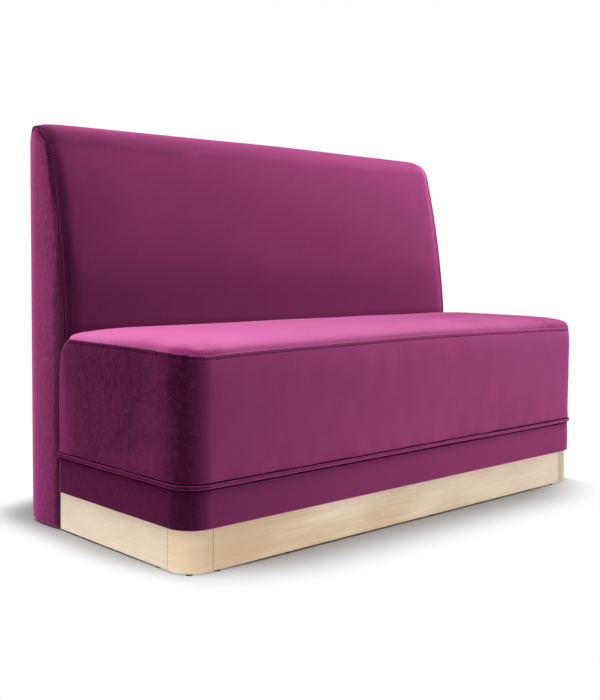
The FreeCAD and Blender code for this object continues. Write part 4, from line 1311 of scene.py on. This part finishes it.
def velvet(
        name, deep, pale, lean, streaks, clouds,
        power=1.2, sheen=1.0, nap_and_painted_light=(), seam_painted_shade=0.0, painted_shade_to_black=2.0):
    """Velvet that goes from deep to pale as it turns away; lean is the pile's tilt, level and along.

    Each patch has a middle and a reach along each axis, in metres, and an amount: above 0 it paints
    the velvet paler and below 0 deeper; a few patches follow the nap, most are painted light and
    painted shade. The edge amount paints shade on the strip that comes round to the seam on the end,
    and the last amount is how fast a patch of painted shade that is deeper than deep goes to black.
    """
    recipe = Recipe(name)
    cloud = recipe.mottle(8, 5, (1, 1, 0.7), 0.55)
    streak = recipe.mottle(90, 7, (1, 1, 0.7), 0.8)
    speckle = recipe.mottle(300, 3, (1, 1, 0.7), 0.7)
    grain = recipe.mottle(1800, 2, (1, 1, 0.4))
    outwards = recipe.node("ShaderNodeNewGeometry", {}, {}, "Normal")
    along = recipe.vector("CROSS_PRODUCT", (0, 0, 1), outwards)
    leant = recipe.vector("NORMALIZE", recipe.vector("MULTIPLY_ADD", along, (lean, lean, lean), outwards))
    height = cloud * clouds + streak * streaks * 0.15 + speckle * 0.12 + grain * 0.1
    nap = recipe.node(
        "ShaderNodeBump", {},
        {"Height": height, "Distance": nap_relief, "Strength": 0.6, "Normal": leant})
    slant = recipe.node("ShaderNodeLayerWeight", {}, {"Blend": 0.5, "Normal": nap}, "Facing")
    sideways = recipe.maths("ABSOLUTE", recipe.axis(outwards, 0), 0)
    streaky = (streak - 0.5) * streaks * (0.5 + sideways * 3)
    lay = (cloud - 0.5) * clouds + streaky + (speckle - 0.5) * 0.9
    turned = recipe.maths("POWER", slant, power) + lay * 0.5
    # Each patch paints the velvet paler or deeper: a few follow the nap, most are painted light and
    # painted shade.
    for middle, reach, amount in nap_and_painted_light:
        off = recipe.vector("DIVIDE", recipe.vector("SUBTRACT", recipe.place(), middle), reach)
        off = recipe.vector("LENGTH", off, output="Value")
        ragged = (cloud - 0.5) * 1.2 + (streak - 0.5) * 0.5
        turned = turned + (1 - (off + ragged).smoothly(0.0, 1.0)) * amount
    # Painted shade: the strip that turns round the corner to the side seam is painted deeper.
    if seam_painted_shade:
        past = recipe.node("ShaderNodeAttribute", {"attribute_name": "past_seam"}, {}, "Fac")
        turned = turned - (1 - past.smoothly(-1.0, 0.5)) * seam_painted_shade
    shade = recipe.mix(turned.clear(), colour(*deep), colour(*pale))
    # Painted shade: where the patches push below deep, the velvet is painted towards black.
    if painted_shade_to_black:
        shade = recipe.mix((turned * -painted_shade_to_black).clear(), shade, (0, 0, 0, 1))
    return recipe.finish(
        Base_Color=shade,
        Roughness=0.8 + (grain - 0.5) * 0.2,
        Specular_IOR_Level=0.02,
        Sheen_Weight=sheen,
        Sheen_Roughness=0.45,
        Sheen_Tint=(1.0, 0.19, 0.57, 1.0),
        Normal=nap,
    )


dark_plum = (43, 4, 28)
plum = (105, 34, 76)
pink = (188, 104, 154)
# The border's patches are partly nap and mostly painted light: painted shade across the front, darkening
# it towards the right, and painted highlights at the rear of the left side and at the right front corner.
side_nap_and_painted_light = [
    ((-half, 0.0, 0.27), (0.06, 0.5, 0.4), 0.17),
    ((-half, box_rear, 0.27), (0.1, 0.11, 0.4), 0.4),
    ((-half - 0.01, box_rear - 0.02, 0.28), (0.05, 0.035, 0.35), 0.6),
    ((-half, -0.1, 0.19), (0.1, 0.16, 0.05), 0.2),
    ((-half, -0.12, 0.36), (0.1, 0.2, 0.08), -0.1),
    ((-half, 0.03, 0.27), (0.1, 0.06, 0.1), -0.05),
    ((-half, front + 0.1, 0.3), (0.03, 0.08, 0.5), 0.25),
    ((-half + 0.012, front + 0.022, 0.3), (0.02, 0.02, 0.5), -0.2),
    ((-half + 0.045, front, 0.3), (0.03, 0.04, 0.5), 0.18),
    ((0.35, front, 0.19), (0.35, 0.1, 0.09), -0.55),
    ((0.5, front, 0.42), (0.45, 0.1, 0.13), -0.4),
    ((0.05, front, 0.3), (0.4, 0.1, 0.2), -0.3),
    ((half + 0.01, front, 0.3), (0.06, 0.06, 0.6), 0.9),
]
# The top's patches are painted shade at the front left corner and towards the right, with a little
# painted light on the left.
top_nap_and_painted_light = [
    ((-half + 0.02, front + 0.02, 0.42), (0.12, 0.08, 0.03), -0.3),
    ((-half - 0.01, front + 0.13, 0.424), (0.06, 0.28, 0.03), -0.42),
    ((-half, 0.0, 0.45), (0.35, 0.4, 0.1), 0.05),
    ((half, -0.1, 0.45), (0.7, 0.5, 0.2), -0.6),
]
# The back's patches are mostly painted shade: low by the seat, in a band under the crest and in the
# valley beside the left seam, with some painted light on the left.
back_nap_and_painted_light = [
    ((0.0, 0.15, 0.42), (1.6, 0.3, 0.26), -0.14),
    ((0.0, 0.2, 0.885), (3.0, 0.3, 0.04), -0.55),
    ((-0.45, 0.2, 0.8), (0.25, 0.2, 0.1), 0.08),
    ((-0.48, 0.2, 0.64), (0.25, 0.3, 0.15), 0.2),
    ((0.5, 0.2, 0.78), (0.3, 0.3, 0.2), -0.12),
    ((-half + 0.01, 0.17, 0.6), (0.026, 0.1, 0.36), -0.5),
]
# The ends' patches are painted light and shade: a strong painted shadow on the left end by the seat's
# rear edge, painted shade under the crest, and painted light at the left rear and on the right end.
end_nap_and_painted_light = [
    ((-half, 0.2, 0.82), (0.1, 0.05, 0.09), -0.25),
    ((-half, 0.16, 0.3), (0.1, 0.04, 0.6), -1.8),
    ((-half, 0.3, 0.4), (0.1, 0.12, 0.9), 0.5),
    ((half, 0.22, 0.6), (0.1, 0.5, 1.0), 0.5),
]
velvet_border = velvet("plum_velvet_border", dark_plum, plum, 0.45, 0.9, 0.5, nap_and_painted_light=side_nap_and_painted_light)
# The top is a paler copy of the velvet, painted light for the light from above: even its deep colour is
# paler than the border's pale.
velvet_top_painted_light = velvet(
    "plum_velvet_top_painted_light", (118, 38, 86), pink, 0.0, 0.2, 0.6, 0.7, 0.8, top_nap_and_painted_light, painted_shade_to_black=0)
velvet_back = velvet(
    "plum_velvet_back", dark_plum, plum, 0.38, 0.5, 0.6, nap_and_painted_light=back_nap_and_painted_light, painted_shade_to_black=0.5)
velvet_end = velvet(
    "plum_velvet_ends", dark_plum, plum, 0.1, 1.6, 0.8, nap_and_painted_light=end_nap_and_painted_light, seam_painted_shade=0.3)
velvet_trim = velvet("plum_velvet_trim", dark_plum, plum, 0.38, 0.4, 0.3, sheen=0.8)
# The raised seam edges get paler colours than the cloth round them, a painted highlight along each ridge.
velvet_ridge_painted_highlight = velvet("plum_velvet_ridge_painted_highlight", dark_plum, pink, 0.3, 1.6, 0.3)
velvet_seam_painted_highlight = velvet("plum_velvet_seam_painted_highlight", dark_plum, (140, 60, 106), 0.38, 0.9, 0.3)
# The folds at the back's corners and the strips at the box's rear edges take a darker copy with less
# sheen: painted shade in the folds and the gap.
velvet_painted_gap_shade = velvet("plum_velvet_painted_gap_shade", (24, 2, 16), (60, 10, 40), 0.0, 0.6, 0.3, sheen=0.3)
# The darkest copy, with no sheen, is painted shade for the crevices above and below the welt.
velvet_painted_crease_shade = velvet("plum_velvet_painted_crease_shade", (12, 1, 8), (24, 3, 16), 0.0, 0.0, 0.2, sheen=0.0)
covers = {
    velvet_back: (back_sheet, rear_sheet),
    velvet_painted_gap_shade: (*back_folds, *box_wraps),
    velvet_seam_painted_highlight: back_seams,
    velvet_end: (left_end, right_end),
    velvet_trim: (band, welt),
    velvet_ridge_painted_highlight: (seat_seam,),
}
for finish, pieces in covers.items():
    for piece in pieces:
        piece.data.materials.append(finish)
for finish in (velvet_border, velvet_top_painted_light, velvet_painted_crease_shade):
    seat.data.materials.append(finish)
# The faces at the border's foot and at the top of the band, in the crevices by the welt, take the darkest
# copy: painted shade.
foot_painted_shade = 0.4 * MM
band_painted_shade = 2.3 * MM
for face in seat.data.polygons:
    middle = face.center
    if middle.z > seam_height + seam_dip(middle.x, middle.y):
        face.material_index = 1
    elif middle.z < border_foot + foot_painted_shade:
        face.material_index = 2
band.data.materials.append(velvet_painted_crease_shade)
for face in band.data.polygons:
    face.material_index = int(face.center.z > band_high.z - band_painted_shade)
print("velvet on", 1 + sum(len(pieces) for pieces in covers.values()), "pieces")

# %% [markdown]
# The plinth is pale maple veneer under satin lacquer: fine grain along the boards, soft clouds of
# figure, and slightly darker lines. The boards at the sides run front to rear, so their grain turns.
# The other woods are plainer and are only seen from below or behind.

# %% Woods
joint_half_width = 0.4 * MM
joint_soft_edge = 1.1 * MM


def veneer(name, along, joints, deep, pale, painted_light_per_metre=0.0):
    """Maple veneer whose grain runs along some axes, with a thin dark line at each joint's plane.

    It is painted paler with each metre to the right by the given amount, a painted light gradient.
    """
    recipe = Recipe(name)
    thin = [40.0, 40.0, 40.0]
    for axis in along:
        thin[axis] = 1.2
    fibre = recipe.mottle(6, 6, tuple(thin), 0.6)
    figure = recipe.mottle(9, 3, (0.6, 0.6, 1.4))
    pores = recipe.mottle(60, 2, tuple(thin))
    rightwards = recipe.axis(recipe.place(), 0)
    # Painted light: the tone rises with each metre to the right.
    tone = 0.5 + (figure - 0.5) * 0.8 + (fibre - 0.5) * 0.45 + rightwards * painted_light_per_metre
    shade = recipe.mix(tone.smoothly(0.1, 0.9), colour(*deep), colour(*pale))
    shade = recipe.mix(pores.smoothly(0.6, 0.8) * 0.12, shade, colour(186, 152, 116))
    for axis, plane in joints:
        part = recipe.maths("ABSOLUTE", recipe.axis(recipe.place(), axis), 0)
        off = recipe.maths("ABSOLUTE", part - abs(plane), 0)
        line = (1 - off.smoothly(joint_half_width, joint_soft_edge)) * 0.8
        shade = recipe.mix(line, shade, colour(112, 88, 66))
    return recipe.finish(
        Base_Color=shade,
        Roughness=0.4 + (fibre - 0.5) * 0.1,
        Coat_Weight=0.2,
        Coat_Roughness=0.3,
        Normal=recipe.bump(fibre, fine_relief, 0.3),
    )


def plain_wood(name, pale, deep, across, gloss=0.6):
    """Raw wood with a visible grain."""
    recipe = Recipe(name)
    grain = recipe.mottle(10, 6, across, 0.6)
    rings = recipe.node(
        "ShaderNodeTexWave", {"wave_type": "BANDS", "bands_direction": "Z"},
        {"Vector": recipe.place(), "Scale": 60, "Distortion": 3, "Detail": 2})
    tone = grain * 0.8 + rings * 0.2
    return recipe.finish(
        Base_Color=recipe.mix(tone.smoothly(0.25, 0.75), colour(*deep), colour(*pale)),
        Roughness=gloss + (grain - 0.5) * 0.2,
        Normal=recipe.bump(grain, coarse_relief, 0.5),
    )


corner_leg = half - front_board[1].x
joint_x = (0, half - corner_leg)
joint_y = (1, front + corner_leg)
# The front boards are painted paler towards the right: painted light.
maple_long = veneer("maple_veneer_long", (0,), [joint_x], (208, 178, 141), (248, 229, 204), 0.28)
maple_short = veneer("maple_veneer_short", (1,), [joint_y], (194, 172, 144), (222, 205, 183))
maple_corner = veneer(
    "maple_veneer_corner", (0, 1), [joint_x, joint_y], (200, 172, 137), (229, 208, 179))
birch = plain_wood("birch_plywood", (214, 186, 146), (182, 146, 104), (3, 3, 30))
pine = plain_wood("planed_pine", (222, 190, 142), (186, 142, 92), (2, 26, 26))
hardboard = plain_wood("brown_hardboard", (128, 92, 62), (98, 66, 42), (30, 30, 30), 0.7)
print("six woods")

# %% [markdown]
# The small parts have plain finishes of their own: moulded plastic for the glides, zinc for the screws
# and washers, and matt black cloth with a fine weave for the hidden lining, dust cloth and webbing.

# %% Plastic, metal and hidden cloth


def moulded_plastic():
    recipe = Recipe("moulded_glide_plastic")
    orange_peel = recipe.mottle(1200, 2)
    scuffs = recipe.mottle(90, 4)
    return recipe.finish(
        Base_Color=recipe.mix(scuffs.smoothly(0.4, 0.8), colour(44, 40, 38), colour(62, 57, 53)),
        Roughness=0.45 + (scuffs - 0.5) * 0.3,
        Normal=recipe.bump(orange_peel, fine_relief, 0.3),
    )


def zinc():
    recipe = Recipe("zinc_plated_steel")
    bloom = recipe.mottle(160, 4)
    return recipe.finish(
        Base_Color=recipe.mix(bloom, colour(182, 184, 180), colour(214, 214, 208)),
        Metallic=1.0,
        Roughness=0.3 + (bloom - 0.5) * 0.3,
    )


def woven(name, deep, pale, scale):
    """Crossed threads, as two sets of bands."""
    recipe = Recipe(name)
    place = recipe.place()
    bands = []
    for way in ("X", "Y"):
        bands.append(recipe.node(
            "ShaderNodeTexWave", {"wave_type": "BANDS", "bands_direction": way},
            {"Vector": place, "Scale": scale, "Distortion": 0.4}))
    weave = bands[0] * bands[1]
    return recipe.finish(
        Base_Color=recipe.mix(weave, colour(*deep), colour(*pale)),
        Roughness=0.9,
        Normal=recipe.bump(weave, coarse_relief, 0.5),
    )


def thread_finish():
    recipe = Recipe("thread")
    twist = recipe.mottle(1500, 2)
    return recipe.finish(
        Base_Color=recipe.mix(twist, colour(34, 1, 22), colour(54, 6, 36)),
        Roughness=0.9,
        Specular_IOR_Level=0.01,
        Normal=recipe.bump(twist, fine_relief, 0.4),
    )


plastic = moulded_plastic()
zinc_steel = zinc()
black_cloth = woven("black_lining_cloth", (14, 14, 15), (44, 43, 44), 260)
strap_cloth = woven("elastic_webbing", (22, 20, 19), (70, 64, 58), 160)
thread_finish()
for piece in (lining, dust_cloth):
    piece.data.materials.append(black_cloth)
for piece in (cross_straps, long_straps):
    piece.data.materials.append(strap_cloth)
finishes = {
    "plinth_front_board": maple_long,
    "plinth_left_board": maple_short,
    "plinth_right_board": maple_short,
    "plinth_corner_left": maple_corner,
    "plinth_corner_right": maple_corner,
    "plinth_joint_blocks": pine,
    "joining_cleats": pine,
    "seat_corner_blocks": pine,
    "back_joining_rail": pine,
    "back_top_rail": pine,
    "back_middle_rail": pine,
    "back_rear_board": hardboard,
    "glides": plastic,
    "joining_screws": zinc_steel,
    "screw_washers": zinc_steel,
}
dressed = 0
for name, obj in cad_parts.items():
    finish = finishes.get(name, birch)
    for holder in (obj if isinstance(obj, (list, tuple)) else [obj]):
        if not holder.data.materials:
            holder.data.materials.append(finish)
        for slot in holder.material_slots:
            slot.material = finish
        dressed += 1
print("materials on", dressed, "CAD nodes")

# %% [markdown]
# Each new piece now rides on the one body and says which CAD nodes it stands for, and those nodes are
# hidden.

# %% What stands for what
stands_for = {
    seat: ("seat_border", "seat_top_cover", "seat_foam"),
    back_sheet: ("back_front_cover", "back_foam"),
    left_end: ("back_side_cover_left",),
    right_end: ("back_side_cover_right",),
    rear_sheet: ("back_rear_cover",),
    band: ("fascia_band",),
    welt: ("seat_piping",),
    lining: ("seat_lining",),
    dust_cloth: ("plinth_dust_cloth",),
    cross_straps: ("webbing_cross_straps",),
    long_straps: ("webbing_long_straps",),
}
for piece, nodes in stands_for.items():
    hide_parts(*nodes)
velvets = [seat, back_sheet, left_end, right_end, rear_sheet, band, welt, seat_seam]
velvets += [*back_seams, *back_folds, *box_wraps, seat_stitches, *back_stitches]
for piece in [*velvets, lining, dust_cloth, cross_straps, long_straps]:
    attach(piece, "root")


# %% [markdown]
# The photograph was taken from a little under standing eye level, in front of the booth's left end.
# The camera was worked out from the straight edges of the booth. Its shift stands for the picture's
# crop.

# %% Camera
camera_place = (-1.7703, -1.5213 + front, 0.5955)
camera_turn = math.radians(-42.631)
camera_down = math.radians(0.711)
camera_roll = math.radians(0.212)
lens_data = bpy.data.cameras.new("camera")
lens_data.sensor_width = 36.0
lens_data.lens = 51.845
lens_data.shift_x = 0.0026
lens_data.shift_y = -0.108
camera = new_object("camera", lens_data)
turn = (
    Matrix.Rotation(camera_turn, 4, "Z")
    @ Matrix.Rotation(math.pi / 2 - camera_down, 4, "X")
    @ Matrix.Rotation(camera_roll, 4, "Z")
)
camera.matrix_world = Matrix.Translation(camera_place) @ turn
bpy.context.scene.camera = camera
print("camera", round(camera.location.z, 2), "m above the floor")

# %% [markdown]
# The studio is white. Near the booth the floor is painted a darker grey to the camera, a painted shadow
# that joins the real soft shadow there, and it fades to plain white a hand's breadth off, sooner round
# the front corners than along the sides. The world is white to the camera and in mirrors and glass,
# and dimmer to everything else, so that it only fills.

# %% Floor and world
SHADE_INSET = 0.3
SHADE_FADE = 0.2
FLOOR_REACH = 30.0
floor_mesh = bpy.data.meshes.new("floor")
floor_corners = [(x * FLOOR_REACH, y * FLOOR_REACH, 0) for x, y in ((-1, -1), (1, -1), (1, 1), (-1, 1))]
floor_mesh.from_pydata(floor_corners, [], [(0, 1, 2, 3)])
floor = new_object("floor", floor_mesh)
studio = Recipe("studio_floor")
floor_place = studio.node("ShaderNodeTexCoord", {}, {}, "Object")
floor_x = studio.axis(floor_place, 0)
floor_y = studio.axis(floor_place, 1)


def only_past(distance):
    return studio.maths("MAXIMUM", distance, 0)


# The painted shadow's reach is measured from the booth's footprint and shaped to end sooner round the
# front corners.
past_left = only_past(SHADE_INSET - half - floor_x) + only_past(-half - floor_x)
past_right = only_past(floor_x - (half - SHADE_INSET)) + only_past(floor_x - half) * 3
past_front = only_past(front + SHADE_INSET - floor_y)
past_rear = only_past(floor_y - rear_at(0))
past_side = past_left + past_right
past_end = past_front + past_rear * 2
apart = studio.maths("SQRT", past_side * past_side + past_end * past_end, 0)
far = apart.smoothly(SHADE_INSET, SHADE_INSET + SHADE_FADE)
seen = studio.node("ShaderNodeLightPath", {}, {}, "Is Camera Ray")
# Painted shadow: to the camera the floor near the booth is dark grey, while lamps and bounced light see
# it pale.
painted_shadow_grey = studio.mix(seen, (0.86, 0.86, 0.86, 1), (0.34, 0.34, 0.34, 1))
paint = studio.node("ShaderNodeBsdfDiffuse", {}, {"Color": painted_shadow_grey})
glow = studio.node("ShaderNodeEmission", {}, {"Color": (1, 1, 1, 1), "Strength": 1.0})
shiny = studio.node("ShaderNodeLightPath", {}, {}, "Is Glossy Ray")
clear = studio.node("ShaderNodeLightPath", {}, {}, "Is Transmission Ray")
shown = studio.maths("MAXIMUM", seen, studio.maths("MAXIMUM", shiny, clear))
mixed = studio.node("ShaderNodeMixShader", {}, {0: far * shown, 1: paint, 2: glow})
end = studio.tree.nodes.new("ShaderNodeOutputMaterial")
studio.tree.links.new(mixed.socket, end.inputs["Surface"])
floor.data.materials.append(studio.material)

FILL = 0.52
world = bpy.data.worlds.new("studio")
bpy.context.scene.world = world
world.use_nodes = True
world.node_tree.nodes.clear()
sky = world.node_tree
rays = add(sky, "ShaderNodeLightPath", {}, {}).outputs
both = add(sky, "ShaderNodeMath", {"operation": "MAXIMUM"},
           {0: rays["Is Camera Ray"], 1: rays["Is Transmission Ray"]})
all_seen = add(sky, "ShaderNodeMath", {"operation": "MAXIMUM"},
               {0: both.outputs[0], 1: rays["Is Glossy Ray"]})
level = add(sky, "ShaderNodeMapRange", {},
            {"Value": all_seen.outputs[0], "To Min": FILL, "To Max": 1.0})
shine = add(sky, "ShaderNodeBackground", {}, {"Color": (1, 1, 1, 1), "Strength": level.outputs[0]})
add(sky, "ShaderNodeOutputWorld", {}, {"Surface": shine.outputs[0]})
bpy.context.scene.view_settings.view_transform = "Standard"
print("floor and world ready")

# %% [markdown]
# Three large soft lamps do the rest: one overhead for the seat's glow, one from the front right for
# the front of the seat and back, and a weak one on the left. Area lamps this large leave only soft
# shadows.

# %% Lamps


def lamp(name, place, aim, size, watts):
    light = bpy.data.lights.new(name, "AREA")
    light.shape = "DISK"
    light.size = size
    light.energy = watts
    obj = new_object(name, light)
    obj.location = place
    obj.rotation_euler = (Vector(aim) - Vector(place)).to_track_quat("-Z", "Y").to_euler()


lamp("overhead_softbox", (-1.3, -0.4, 3.1), (-0.3, 0, 0.4), 2.2, 108)
lamp("front_right_key", (2.6, -2.4, 2.0), (0, 0, 0.5), 2.0, 8)
lamp("left_fill", (-3.2, -0.4, 1.6), (0, 0, 0.5), 2.0, 12)
print("three lamps")
